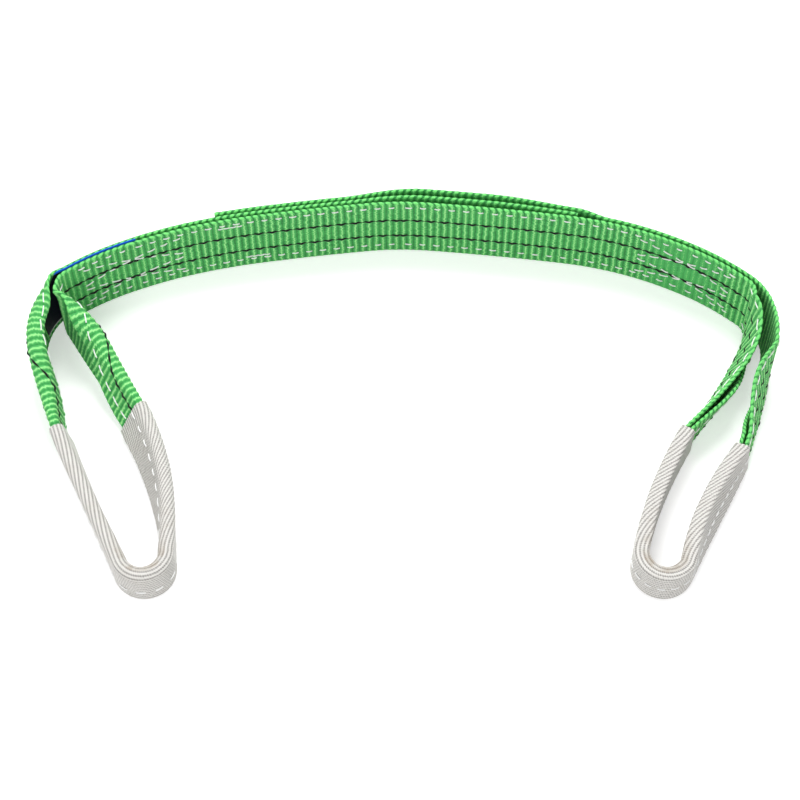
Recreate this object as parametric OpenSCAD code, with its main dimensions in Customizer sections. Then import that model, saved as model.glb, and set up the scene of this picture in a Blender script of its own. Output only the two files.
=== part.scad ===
// Flat web sling of two sewn plies, with a folded and sleeved eye at each end.
// It stands on one edge as a shallow arch: X runs along the sling and Z across the web.
// Both eyes come towards -Y.
// The origin is under the middle of the front ply.

/* [Web] */
// Width of the web
web_w = 60; // [48:1:75]
// Thickness of one ply of web
web_t = 3.2; // [2.6:0.1:4]
// Free space between two sewn plies
ply_gap = 0.5; // [0.45:0.05:0.8]

/* [Body] */
// Web from the middle to the start of the left sewn block
mid_left = 150; // [120:1:200]
// Web from the middle to the start of the right sewn block
mid_right = 165; // [135:1:200]
// Length of the left sewn block, up to its throat
block_left = 89; // [74:1:110]
// Length of the right sewn block, up to its throat
block_right = 86; // [71:1:110]
// How far the left tail stops short of the right sewn block
left_tail_short = 39; // [32:1:60]
// How far the right tail stops short of the left sewn block
right_tail_short = 19; // [10:1:60]
// Length over which the right tail steps down past the end of the left tail
lap_step = 22; // [16:1:27]
// How far the right tail stands off behind the crest, beyond the plies between
tail_stand = 4.4; // [0:0.1:6]
// Where that stand-off starts, left of the middle
stand_left = 40; // [30:1:60]
// How far that stand-off ends short of the right sewn block
stand_short = 30; // [25:1:40]

/* [Lay] */
// Length of the crest arc, each side of the middle
crest_len = 22; // [15:1:30]
// Turn of the left half of the crest in degrees
left_crest_turn = 6; // [1:0.5:8]
// Turn of the right half of the crest in degrees
right_crest_turn = 5; // [1:0.5:8]
// Turn of the long flanks in degrees
flank_turn = 3; // [1:0.5:8]
// Length of the shoulder arcs before the sewn blocks
shoulder_len = 45; // [30:1:55]
// Turn of the left shoulder in degrees
left_shoulder_turn = 6; // [1:0.5:12]
// Turn of the right shoulder in degrees
right_shoulder_turn = 10; // [1:0.5:14]
// Length of the near arc of a sewn block
block_near = 50; // [40:1:60]
// Turn of the near arc of the left block in degrees
left_near_turn = 8; // [1:0.5:14]
// Turn of the far arc of the left block in degrees
left_far_turn = 11; // [1:0.5:16]
// Turn of the near arc of the right block in degrees
right_near_turn = 11; // [1:0.5:14]
// Turn of the far arc of the right block in degrees
right_far_turn = 11; // [1:0.5:16]

/* [Eyes] */
// Left throat to the middle of the crown
left_reach = 213; // [180:0.5:260]
// Right throat to the middle of the crown
right_reach = 209; // [172:1:270]
// Turn from the left block to the line of the left eye in degrees
left_eye_turn = 72; // [62:0.5:78]
// Turn from the right block to the line of the right eye in degrees
right_eye_turn = 67.5; // [60:0.5:76]
// Radius of the inner leg's turn at the throat
throat_r = 11; // [9:0.5:14]
// Turn of the left inner leg at the throat in degrees
left_throat_turn = 85; // [75:1:90]
// Turn of the right inner leg at the throat in degrees
right_throat_turn = 67; // [58:1:75]
// Turn at which an inner leg reaches the crown in degrees
inner_arrival = 62; // [56:1:68]
// Turn at which an outer leg reaches the crown in degrees
outer_arrival = 80; // [74:1:86]
// Swell of the left inner leg beyond its throat
left_inner_swell = 72; // [58:1:88]
// Swell of the left inner leg before the crown
left_inner_close = 75; // [60:1:90]
// Swell of the right inner leg beyond its throat
right_inner_swell = 40; // [30:1:55]
// Swell of the right inner leg before the crown
right_inner_close = 82; // [65:1:95]
// Swell of the left outer leg beyond its throat
left_outer_swell = 52; // [42:1:62]
// Swell of the left outer leg before the crown
left_outer_close = 110; // [95:1:135]
// Swell of the right outer leg beyond its throat
right_outer_swell = 58; // [48:1:66]
// Swell of the right outer leg before the crown
right_outer_close = 70; // [60:1:100]
// Where the web's edge starts to roll over on an inner leg
inner_roll_from = 8; // [6:1:12]
// Where the web's edge starts to roll over on the left outer leg
left_roll_from = 6; // [5:1:10]
// Where the web's edge starts to roll over on the right outer leg
right_roll_from = 24; // [22:1:30]
// Length of the left inner leg over which its edge rolls right over
left_roll_run = 46; // [44:1:70]
// Length of the right outer leg over which its edge rolls right over
right_roll_run = 50; // [40:1:56]
// Length of the other legs over which their edge rolls right over
roll_run = 34; // [26:1:40]
// Length of the left inner leg over which its roll widens to half the web
left_fold_run = 90; // [62:1:94]
// Length of the other legs over which a roll widens to half the web
fold_run = 62; // [54:1:66]
// Where the roll starts to widen on the left outer leg
left_fold_from = 42; // [40:1:58]
// Where the roll starts to widen on the right outer leg
right_fold_from = 66; // [60:1:68]
// Radius of the web's bend in the left eye before the sleeve draws it tight
left_loose_r = 5; // [3:0.5:6]
// Radius of the web's bend in the right eye before the sleeve draws it tight
right_loose_r = 2.8; // [2.2:0.1:4]
// Length over which the bend tightens before the sleeve
tight_run = 45; // [30:1:60]
// Greatest outward lean of the left inner leg in degrees
left_inner_lean = 30; // [1:1:32]
// Inward lean of the bare part of the right inner leg in degrees
right_inner_lean = 20; // [1:1:22]
// Greatest outward lean of the left outer leg in degrees
left_outer_lean = 9; // [1:1:12]
// Inward lean of the bare part of the right outer leg in degrees
right_outer_lean = 13; // [1:1:15]
// Greatest inward lean of the sleeved part of the right outer leg in degrees
right_sleeve_lean = 15; // [1:1:17]

/* [Wear sleeves] */
// Radius of the seat inside the crown, over the sleeve
seat_r = 11; // [9:0.5:16]
// Thickness of the sleeve cloth
sleeve_wall = 1.4; // [1:0.1:2]
// Free space between sleeve and web
sleeve_ease = 0.25; // [0.2:0.05:0.4]
// Length of each leg of the left sleeve
left_sleeve_leg = 112; // [90:1:120]
// Length of each leg of the right sleeve
right_sleeve_leg = 98; // [80:1:110]

/* [Label] */
// Length of the sewn-in label
label_len = 50; // [30:1:60]
// Thickness of the label
label_t = 0.35; // [0.2:0.05:0.4]
// Height of the label between the plies
label_h = 54; // [30:1:60]
// How far the label stands above the web's edge
label_rise = 0.8; // [0:0.1:2]

/* [Thread and tracer yarn] */
// Width of a row of sewing thread
thread_w = 1.1; // [0.8:0.1:1.6]
// How far sewing thread stands proud
thread_proud = 0.3; // [0.2:0.05:0.5]
// Edge seam from the web's edge above
upper_seam_in = 5.1; // [4:0.1:7]
// Edge seam from the web's edge below
lower_seam_in = 9.3; // [6:0.1:10]
// Width of a tracer yarn
tracer_w = 1; // [0.6:0.1:1.4]
// How far a tracer yarn stands proud
tracer_proud = 0.2; // [0.1:0.05:0.3]
// Tracer yarns from the nearer edge of the web
tracer_in = 20.7; // [16:0.1:22]
// Length of a row of tacking stitches at the lap's end
tack_len = 18; // [10:1:24]

/* [Hidden] */

web_green = [0.20, 0.62, 0.27];
thread_white = [0.93, 0.94, 0.92];
tracer_black = [0.06, 0.07, 0.07];
sleeve_grey = [0.78, 0.78, 0.76];
label_blue = [0.06, 0.30, 0.80];

// Two plies bend about the middle of their stack: the inner end is rounded there
// and the outer end starts clear of it
ply_pitch = web_t + ply_gap;
stack_half = web_t + ply_gap / 2;
hinge_ease = 0.4;
hinge_reach = stack_half + hinge_ease;
nose_steps = 6;
plan_step = 5;
least_stop = 0.8;
trim_stop = 6;
stand_rise = 55;
stand_fall = 70;
thread_ease = 0.05;
leg_ease = 0.3;

left_throat = mid_left + block_left;
right_throat = mid_right + block_right;
left_tail = mid_right - left_tail_short;
right_tail = mid_left - right_tail_short;
left_arcs = [
    [crest_len, left_crest_turn],
    [mid_left - crest_len - shoulder_len, flank_turn],
    [shoulder_len, left_shoulder_turn],
    [block_near, left_near_turn],
    [block_left - block_near, left_far_turn]];
right_arcs = [
    [crest_len, right_crest_turn],
    [mid_right - crest_len - shoulder_len, flank_turn],
    [shoulder_len, right_shoulder_turn],
    [block_near, right_near_turn],
    [block_right - block_near, right_far_turn]];

// Rows of thread and yarn across the web
upper_seam_z = web_w - upper_seam_in;
lower_seam_z = lower_seam_in;
upper_tracer_z = web_w - tracer_in;
lower_tracer_z = tracer_in;
seam_rows_apart = 3;
w_top = upper_seam_z - seam_rows_apart;
w_bottom = lower_seam_z + seam_rows_apart;
w_middle_gap = 2;

// Fold of an eye's web: a flat part, a bend of fixed length and the flap
bend_r = ply_pitch / 2;
half_flat = (web_w - PI * bend_r) / 2;
fold_h = half_flat + bend_r + web_t / 2;
least_flap = 1;
least_fold = 1;
bend_steps = 6;
roll_lead = 8;
lean_lead = 0.7;
lean_from = 0.3;
tuck_share = 0.85;
inward_ease = 2;
inward_lift = 2 * right_loose_r + web_t / 2 - bend_r + inward_ease;
folded = [180, half_flat, bend_r, 1];

// Wear sleeve round the folded web
sleeve_pad = sleeve_wall + sleeve_ease;
sleeve_half = stack_half + sleeve_pad;
sleeve_h = fold_h + 2 * sleeve_pad;
sleeve_corner = 1.8;
least_corner = 0.4;
crown_r = seat_r + sleeve_pad + stack_half + bend_r;
seam_share = 0.36;
sleeve_seam_z = sleeve_h * seam_share;

throat_stub = 1.2;
turn_steps = 4;
leg_steps = 16;
sleeve_steps = 14;
crown_steps = 10;
length_steps = 24;

function ease(x) = let(k = max(0, min(1, x))) k * k * (3 - 2 * k);
function reverse(list) = [for (i = [len(list) - 1 : -1 : 0]) list[i]];

// Plan of the body: arcs laid end to end from the middle, each point as x, y and heading
function arc_end(p, run, turn) =
    let(r = run * 180 / (PI * turn))
    [p.x + r * (sin(p.z + turn) - sin(p.z)), p.y - r * (cos(p.z) - cos(p.z + turn)), p.z + turn];
function walk(arcs, run, p = [0, 0, 0], i = 0) =
    run <= 0 || i >= len(arcs) ? p :
    let(part = min(run, arcs[i][0]))
    walk(arcs, run - part, arc_end(p, part, arcs[i][1] * part / arcs[i][0]), i + 1);

// Point at s along the body (negative to the left), off its front ply away from the eyes
// and ahead along the web
function plan_point(s, off, ahead = 0) =
    let(side = s < 0 ? -1 : 1, q = walk(s < 0 ? left_arcs : right_arcs, abs(s)))
    [side * (q.x + off * sin(q.z) + ahead * cos(q.z)), q.y + off * cos(q.z) - ahead * sin(q.z)];
// Stops shared by every strip, so that neighbouring strips run side by side
function stops(s0, s1) = concat(
    [s0],
    [for (k = [ceil((s0 + least_stop) / plan_step) : floor((s1 - least_stop) / plan_step)]) k * plan_step],
    [s1]);

// How far each layer's middle lies behind the front ply: 0 front, 1 left tail, 2 right tail over the lap
function stand(s) =
    tail_stand * ease((s + stand_left) / stand_rise) * ease((mid_right - stand_short - s) / stand_fall);
function layer(kind, s) =
    kind == 0 ? 0 :
    kind == 1 ? ply_pitch + stand(s) / 2 :
    stand(s) + ply_pitch * (1 + ease((left_tail + lap_step - s) / (lap_step - hinge_ease)));

// Rounded end of a ply, about the middle of its two-ply stack
function nose(s, off) = [for (k = [0 : nose_steps])
    let(o = off + web_t / 2 - web_t * k / nose_steps)
    let(ahead = sqrt(max(0, pow(stack_half, 2) - pow(o - ply_pitch / 2, 2))))
    if (ahead > hinge_ease / 2) plan_point(s, o, ahead)];

// Outline of a layer's strip between two distances from the layer's middle
function strip(kind, s0, s1, near, far) = concat(
    [for (s = stops(s0, s1)) plan_point(s, layer(kind, s) + far)],
    [for (s = reverse(stops(s0, s1))) plan_point(s, layer(kind, s) + near)]);
function ply(kind, s0, s1, nose0, nose1) =
    let(run = stops(s0, s1), h = web_t / 2)
    concat(
        [for (s = run) plan_point(s, layer(kind, s) + h)],
        nose1 ? nose(s1, layer(kind, s1)) : [],
        [for (s = reverse(run)) plan_point(s, layer(kind, s) - h)],
        nose0 ? reverse(nose(s0, layer(kind, s0))) : []);

// Fold at a run along a leg: angle, flap, bend radius and how far it is done
// leg = [start of the roll, its run, start of the widening, its run, run to the sleeve, loose bend radius]
function fold_state(run, leg) =
    let(bend = bend_r + (leg[5] - bend_r) * (1 - ease((run - leg[4] + tight_run) / tight_run)))
    let(done = ease((run - leg[2]) / leg[3]))
    [max(least_fold, 180 * ease((run - leg[0]) / leg[1])),
        least_flap + ((web_w - PI * bend) / 2 - least_flap) * done, bend, done];
function fold_at(fold) = web_w - PI * fold[2] - fold[1];
function across(fold) = let(at = fold_at(fold), bend_len = PI * fold[2]) concat(
    [0, at / 2, at],
    [for (k = [1 : bend_steps]) at + bend_len * k / bend_steps],
    [web_w - fold[1] / 2, web_w]);
// Point at w across the web, d out from its middle
function section(w, d, fold) =
    let(phi = fold[0], at = fold_at(fold), bend_len = PI * fold[2], r = bend_len * 180 / (PI * phi))
    let(theta = phi * max(0, min(1, (w - at) / bend_len)))
    let(past = max(0, w - at - bend_len))
    [r * (1 - cos(theta)) + past * sin(phi) - d * cos(theta),
        min(w, at) + r * sin(theta) + past * cos(phi) + d * sin(theta)];

// Legs are cubic curves from the throat to the crown
function curve(p, t) =
    pow(1 - t, 3) * p[0] + 3 * t * pow(1 - t, 2) * p[1] + 3 * t * t * (1 - t) * p[2] + pow(t, 3) * p[3];
function slope(p, t) =
    let(d = pow(1 - t, 2) * (p[1] - p[0]) + 2 * t * (1 - t) * (p[2] - p[1]) + t * t * (p[3] - p[2]))
    atan2(d.y, d.x);
function curve_len(p, t0, t1) =
    let(pts = [for (i = [0 : length_steps]) curve(p, t0 + (t1 - t0) * i / length_steps)])
    let(parts = [for (i = [1 : length_steps]) norm(pts[i] - pts[i - 1])])
    parts * [for (part = parts) 1];
function mouth(p, leg) = lookup(leg, [for (i = [0 : length_steps])
    let(t = 1 - i / length_steps) [curve_len(p, t, 1), t]]);
function way(angle) = [cos(angle), sin(angle)];

// One eye in its throat's own plan: x on along the body, y towards the inside of the arch
// eye = [crown middle, throat turn, inner swell, inner close, outer swell, outer close, sleeve leg,
//     inner leg's lean, flipped, its inward lean, its roll run, loose bend radius, start of the outer roll,
//     start of its widening, inner widening run, outer roll run, outer leg's lean, its inward lean,
//     its inward lean in the sleeve]
left_eye = [left_reach * way(left_eye_turn), left_throat_turn, left_inner_swell, left_inner_close,
    left_outer_swell, left_outer_close, left_sleeve_leg, left_inner_lean, false,
    0, left_roll_run, left_loose_r, left_roll_from,
    left_fold_from, left_fold_run, roll_run, left_outer_lean, 0, 0];
right_eye = [right_reach * way(right_eye_turn), right_throat_turn, right_inner_swell, right_inner_close,
    right_outer_swell, right_outer_close, right_sleeve_leg, 0, true,
    right_inner_lean, roll_run, right_loose_r, right_roll_from,
    right_fold_from, fold_run, right_roll_run, 0, right_outer_lean, right_sleeve_lean];
left_place = walk(left_arcs, left_throat);
right_place = walk(right_arcs, right_throat);

function turn_end(eye) =
    [hinge_reach + throat_stub + throat_r * sin(eye[1]), throat_r * (1 - cos(eye[1]))];
function inner_curve(eye) =
    let(p0 = turn_end(eye), p3 = eye[0] + crown_r * way(inner_arrival + 90))
    [p0, p0 + eye[2] * way(eye[1]), p3 - eye[3] * way(inner_arrival), p3];
function outer_curve(eye) =
    let(p0 = [hinge_reach, -ply_pitch], p3 = eye[0] + crown_r * way(outer_arrival - 90))
    [p0, p0 + [eye[4], 0], p3 - eye[5] * way(outer_arrival), p3];

// Stations along an eye: x, y, heading, fold, lean
function bare_stops(p, leg) = [for (i = [0 : leg_steps]) mouth(p, leg) * i / leg_steps];
function sleeved_stops(p, leg) =
    let(t0 = mouth(p, leg)) [for (i = [0 : sleeve_steps]) t0 + (1 - t0) * i / sleeve_steps];
function turn_run(angle) = throat_stub + throat_r * angle * PI / 180;
function inner_fold(eye, run) =
    let(p = inner_curve(eye), to_sleeve = turn_run(eye[1]) + curve_len(p, 0, mouth(p, eye[6])))
    fold_state(run, [inner_roll_from, eye[10], inner_roll_from + roll_lead, eye[14], to_sleeve, eye[11]]);
function outer_fold(eye, run) =
    let(p = outer_curve(eye), to_sleeve = curve_len(p, 0, mouth(p, eye[6])))
    fold_state(run, [eye[12], eye[15], eye[13], fold_run, to_sleeve, eye[11]]);
function inner_station(eye, t) =
    let(p = inner_curve(eye), c = curve(p, t), run = turn_run(eye[1]) + curve_len(p, 0, t))
    let(inward = eye[9] * sin(180 * min(1, t / mouth(p, eye[6]))))
    [c.x, c.y, slope(p, t), inner_fold(eye, run), eye[7] * sin(180 * pow(t, lean_lead)) - inward];
function outer_station(eye, t) =
    let(p = outer_curve(eye), c = curve(p, t), fold = outer_fold(eye, curve_len(p, 0, t)))
    let(to = mouth(p, eye[6]), tuck_from = lean_from + tuck_share * (to - lean_from))
    let(inward = eye[17] * sin(180 * max(0, min(1, (t - lean_from) / (to - lean_from)))))
    let(tuck = eye[18] * sin(180 * max(0, t - tuck_from) / (1 - tuck_from)))
    [c.x, c.y, slope(p, t) + 180, fold, eye[16] * sin(180 * t) - inward - tuck];
function inner_throat(eye) = concat(
    [[hinge_reach, 0, 0, inner_fold(eye, 0), 0]],
    [for (k = [0 : turn_steps - 1])
        let(a = eye[1] * k / turn_steps)
        [hinge_reach + throat_stub + throat_r * sin(a), throat_r * (1 - cos(a)), a,
            inner_fold(eye, turn_run(a)), 0]]);
function inner_bare(eye) = [for (t = bare_stops(inner_curve(eye), eye[6])) inner_station(eye, t)];
function inner_sleeved(eye) = [for (t = sleeved_stops(inner_curve(eye), eye[6])) inner_station(eye, t)];
function outer_bare(eye) = [for (t = bare_stops(outer_curve(eye), eye[6])) outer_station(eye, t)];
function outer_sleeved(eye) = [for (t = sleeved_stops(outer_curve(eye), eye[6])) outer_station(eye, t)];
function crown_stations(eye) = [for (k = [0 : crown_steps])
    let(a = inner_arrival + (outer_arrival - 180 - inner_arrival) * k / crown_steps)
    let(c = eye[0] + crown_r * way(a + 90))
    [c.x, c.y, a, folded, 0]];
function tail(list) = [for (i = [1 : len(list) - 1]) list[i]];
function inner_leg_run(eye) = concat(inner_throat(eye), inner_bare(eye), tail(inner_sleeved(eye)));
function outer_leg_run(eye) = concat(reverse(tail(outer_sleeved(eye))), reverse(outer_bare(eye)));
function sleeve_run(eye) = concat(
    inner_sleeved(eye), tail(crown_stations(eye)), tail(reverse(outer_sleeved(eye))));

// Section points of a station, leant, lifted on to the sleeve's floor and set in the throat's place
function seat(uz, st) =
    let(u = uz[0] - bend_r, lean = st[4])
    let(lift = lean > 0 ? sleeve_half * sin(lean) : -inward_lift * sin(lean))
    [bend_r + u * cos(lean) - uz[1] * sin(lean), u * sin(lean) + uz[1] * cos(lean) + lift];
function in_place(place, st, uz) =
    let(q = seat(uz, st))
    let(x = st[0] + q[0] * sin(st[2]), y = st[1] - q[0] * cos(st[2]))
    [place.x + x * cos(place.z) - y * sin(place.z), place.y - x * sin(place.z) - y * cos(place.z), q[1]];
function web_height(fold) =
    max([for (w = across(fold), d = [-web_t / 2, web_t / 2]) section(w, d, fold)[1]]);
function web_uz(w, d, st, flip) =
    let(q = section(w, d, st[3]), lift = sleeve_pad * st[3][3])
    [q[0], lift + (flip ? web_height(st[3]) - q[1] : q[1])];
function web_ring(place, eye, st) =
    let(inner = [for (w = across(st[3])) in_place(place, st, web_uz(w, -web_t / 2, st, eye[8]))])
    let(outer = [for (w = across(st[3])) in_place(place, st, web_uz(w, web_t / 2, st, eye[8]))])
    eye[8] ? concat(outer, reverse(inner)) : concat(inner, reverse(outer));
function row_ring(place, eye, st, w, width, proud) =
    let(low = w - width / 2, high = w + width / 2, base = web_t / 2 + leg_ease)
    let(q = [[low, base + proud], [low, base], [high, base], [high, base + proud]])
    let(ring = [for (k = q) in_place(place, st, web_uz(k[0], k[1], st, eye[8]))])
    eye[8] ? reverse(ring) : ring;

// Outline of the sleeve, drawn in by inset, with its round side over the web's fold
function sleeve_loop(inset, flip) =
    let(r = sleeve_half - inset, c = max(least_corner, sleeve_corner - inset))
    let(row = flip ? sleeve_h - sleeve_seam_z : sleeve_seam_z)
    let(loop = concat(
        [for (a = [180 : 45 : 270]) [bend_r - r + c + c * cos(a), inset + c + c * sin(a)]],
        [for (a = [270 : 45 : 360]) [bend_r + r - c + c * cos(a), inset + c + c * sin(a)]],
        [[bend_r + r, row]],
        [for (a = [0 : 30 : 180]) [bend_r + r * cos(a), sleeve_h - sleeve_half + r * sin(a)]],
        [[bend_r - r, row]]))
    flip ? reverse([for (q = loop) [q[0], sleeve_h - q[1]]]) : loop;

// Skins between rings of points that run anticlockwise seen from the far end
function ring_sides(n, m, first = 0) = [for (i = [0 : m - 2], j = [0 : n - 1])
    let(a = first + i * n + j, b = first + i * n + (j + 1) % n)
    each [[a, a + n, b + n], [a, b + n, b]]];
function strip_cap(n, base) = [for (i = [0 : n / 2 - 2])
    let(a = base + i, b = base + n - 1 - i)
    each [[a, a + 1, b - 1], [a, b - 1, b]]];
function turned(faces) = [for (f = faces) reverse(f)];
module skin(rings) {
    n = len(rings[0]);
    m = len(rings);
    polyhedron([for (ring = rings) each ring],
        concat(ring_sides(n, m), strip_cap(n, 0), turned(strip_cap(n, n * (m - 1)))));
}
module tube_skin(outer, inner) {
    n = len(outer[0]);
    m = len(outer);
    shift = n * m;
    near_cap = [for (j = [0 : n - 1])
        let(k = (j + 1) % n)
        each [[j, k, shift + k], [j, shift + k, shift + j]]];
    far_cap = [for (f = near_cap) [for (v = f) v + n * (m - 1)]];
    polyhedron([for (ring = concat(outer, inner)) each ring],
        concat(ring_sides(n, m), turned(ring_sides(n, m, shift)), near_cap, turned(far_cap)));
}

// Upright strip of web or thread
module upright(outline, z0, h) {
    translate([0, 0, z0])
        linear_extrude(h)
            polygon(outline);
}
module web(kind, s0, s1, nose0, nose1) {
    color(web_green)
        upright(ply(kind, s0, s1, nose0, nose1), 0, web_w);
}
// Row of thread or yarn on the front of a layer (face -1) or on its back (face 1)
module row(kind, s0, s1, z, width, proud, face) {
    low = web_t / 2 + thread_ease;
    near = face < 0 ? -low - proud : low;
    upright(strip(kind, s0, s1, near, near + proud), z - width / 2, width);
}
// Slanting row of thread, clear above the tracer yarns
module slant(kind, s0, s1, z0, z1, face) {
    low = web_t / 2 + tracer_proud + 2 * thread_ease;
    near = face < 0 ? -low - thread_proud : low;
    skin([for (s = stops(s0, s1))
        let(z = z0 + (z1 - z0) * (s - s0) / (s1 - s0))
        [for (k = [[0, -1], [1, -1], [1, 1], [0, 1]])
            let(q = plan_point(s, layer(kind, s) + near + k[0] * thread_proud))
            [q.x, q.y, z + k[1] * thread_w / 2]]]);
}

// Middle of the body
module front_ply_middle() {
    web(0, -mid_left, mid_right, true, true);
}
module left_tail_middle() {
    web(1, -mid_left, left_tail, true, false);
}
module right_tail_middle() {
    web(2, -right_tail, mid_right, false, true);
}
module body_row(z, width, proud) {
    row(0, -mid_left + trim_stop, mid_right - trim_stop, z, width, proud, -1);
    row(2, -right_tail + trim_stop, mid_right - trim_stop, z, width, proud, 1);
}
module upper_edge_seam() {
    color(thread_white)
        body_row(upper_seam_z, thread_w, thread_proud);
}
module lower_edge_seam() {
    color(thread_white)
        body_row(lower_seam_z, thread_w, thread_proud);
}
module upper_tracer() {
    color(tracer_black)
        body_row(upper_tracer_z, tracer_w, tracer_proud);
}
module lower_tracer() {
    color(tracer_black)
        body_row(lower_tracer_z, tracer_w, tracer_proud);
}
module lap_end_tacks() {
    color(thread_white) {
        row(0, -right_tail, -right_tail + tack_len, w_top, thread_w, thread_proud, -1);
        row(0, -right_tail + tack_len, -right_tail + 2 * tack_len, w_bottom, thread_w, thread_proud, -1);
    }
}

// Sewn blocks beside the eyes
module w_rows(kind, s0, s1, face) {
    mid_high = web_w / 2 + w_middle_gap;
    mid_low = web_w / 2 - w_middle_gap;
    slant(kind, s0, s1, w_top, mid_high, face);
    slant(kind, s0, s1, mid_high, w_top, face);
    slant(kind, s0, s1, mid_low, w_bottom, face);
    slant(kind, s0, s1, w_bottom, mid_low, face);
}
module both_faces(s0, s1, z, width, proud) {
    row(0, s0, s1, z, width, proud, -1);
    row(1, s0, s1, z, width, proud, 1);
}
module left_front_ply() {
    web(0, -left_throat, -mid_left - hinge_reach, true, false);
}
module left_back_ply() {
    web(1, -left_throat, -mid_left - hinge_reach, true, false);
}
module left_w_seam() {
    color(thread_white) {
        w_rows(0, -left_throat + trim_stop, -mid_left - trim_stop, -1);
        w_rows(1, -left_throat + trim_stop, -mid_left - trim_stop, 1);
    }
}
module left_edge_seams() {
    color(thread_white)
        for (z = [upper_seam_z, lower_seam_z])
            both_faces(-left_throat + trim_stop, -mid_left - trim_stop, z, thread_w, thread_proud);
}
module left_tracers() {
    color(tracer_black)
        for (z = [upper_tracer_z, lower_tracer_z])
            both_faces(-left_throat + trim_stop, -mid_left - trim_stop, z, tracer_w, tracer_proud);
}
module id_label() {
    near = (ply_pitch - label_t) / 2;
    color(label_blue)
        upright(strip(0, -left_throat, -left_throat + label_len, near, near + label_t),
            web_w + label_rise - label_h, label_h);
}
module right_front_ply() {
    web(0, mid_right + hinge_reach, right_throat, false, true);
}
module right_back_ply() {
    web(1, mid_right + hinge_reach, right_throat, false, true);
}
module right_w_seam() {
    color(thread_white) {
        w_rows(0, mid_right + trim_stop, right_throat - trim_stop, -1);
        w_rows(1, mid_right + trim_stop, right_throat - trim_stop, 1);
    }
}
module right_edge_seams() {
    color(thread_white)
        for (z = [upper_seam_z, lower_seam_z])
            both_faces(mid_right + trim_stop, right_throat - trim_stop, z, thread_w, thread_proud);
}
module right_tracers() {
    color(tracer_black)
        for (z = [upper_tracer_z, lower_tracer_z])
            both_faces(mid_right + trim_stop, right_throat - trim_stop, z, tracer_w, tracer_proud);
}

// Eyes, drawn on the right and mirrored for the left
module eye_web(place, eye, stations) {
    color(web_green)
        skin([for (st = stations) web_ring(place, eye, st)]);
}
module sleeve(place, eye) {
    stations = sleeve_run(eye);
    outer = [for (st = stations) [for (q = sleeve_loop(0, eye[8])) in_place(place, st, q)]];
    inner = [for (st = stations) [for (q = sleeve_loop(sleeve_wall, eye[8])) in_place(place, st, q)]];
    color(sleeve_grey)
        tube_skin(outer, inner);
}
module sleeve_seam(place, eye) {
    face = bend_r - sleeve_half - thread_ease;
    low = sleeve_seam_z - thread_w / 2;
    high = sleeve_seam_z + thread_w / 2;
    corners = [[face - thread_proud, low], [face, low], [face, high], [face - thread_proud, high]];
    color(thread_white)
        skin([for (st = sleeve_run(eye)) [for (q = corners) in_place(place, st, q)]]);
}
module leg_row(place, eye, w, width, proud) {
    inner_run = concat(tail(inner_throat(eye)), inner_bare(eye));
    outer_run = reverse(outer_bare(eye));
    for (run = [inner_run, outer_run])
        skin([for (i = [1 : len(run) - 2]) row_ring(place, eye, run[i], w, width, proud)]);
}
module leg_seams(place, eye) {
    color(thread_white)
        leg_row(place, eye, eye[8] ? upper_seam_in : lower_seam_in, thread_w, thread_proud);
}
module leg_tracers(place, eye) {
    color(tracer_black)
        leg_row(place, eye, tracer_in, tracer_w, tracer_proud);
}
module on_left() {
    mirror([1, 0, 0])
        children();
}
module left_inner_leg() {
    on_left() eye_web(left_place, left_eye, inner_leg_run(left_eye));
}
module left_outer_leg() {
    on_left() eye_web(left_place, left_eye, outer_leg_run(left_eye));
}
module left_eye_crown() {
    on_left() eye_web(left_place, left_eye, crown_stations(left_eye));
}
module left_wear_sleeve() {
    on_left() sleeve(left_place, left_eye);
}
module left_sleeve_seam() {
    on_left() sleeve_seam(left_place, left_eye);
}
module left_leg_seams() {
    on_left() leg_seams(left_place, left_eye);
}
module left_leg_tracers() {
    on_left() leg_tracers(left_place, left_eye);
}
module right_inner_leg() {
    eye_web(right_place, right_eye, inner_leg_run(right_eye));
}
module right_outer_leg() {
    eye_web(right_place, right_eye, outer_leg_run(right_eye));
}
module right_eye_crown() {
    eye_web(right_place, right_eye, crown_stations(right_eye));
}
module right_wear_sleeve() {
    sleeve(right_place, right_eye);
}
module right_sleeve_seam() {
    sleeve_seam(right_place, right_eye);
}
module right_leg_seams() {
    leg_seams(right_place, right_eye);
}
module right_leg_tracers() {
    leg_tracers(right_place, right_eye);
}

front_ply_middle();
left_tail_middle();
right_tail_middle();
upper_edge_seam();
lower_edge_seam();
upper_tracer();
lower_tracer();
lap_end_tacks();
left_front_ply();
left_back_ply();
left_w_seam();
left_edge_seams();
left_tracers();
id_label();
right_front_ply();
right_back_ply();
right_w_seam();
right_edge_seams();
right_tracers();
left_inner_leg();
left_outer_leg();
left_eye_crown();
left_wear_sleeve();
left_sleeve_seam();
left_leg_seams();
left_leg_tracers();
right_inner_leg();
right_outer_leg();
right_eye_crown();
right_wear_sleeve();
right_sleeve_seam();
right_leg_seams();
right_leg_tracers();
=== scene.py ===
import math

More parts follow.
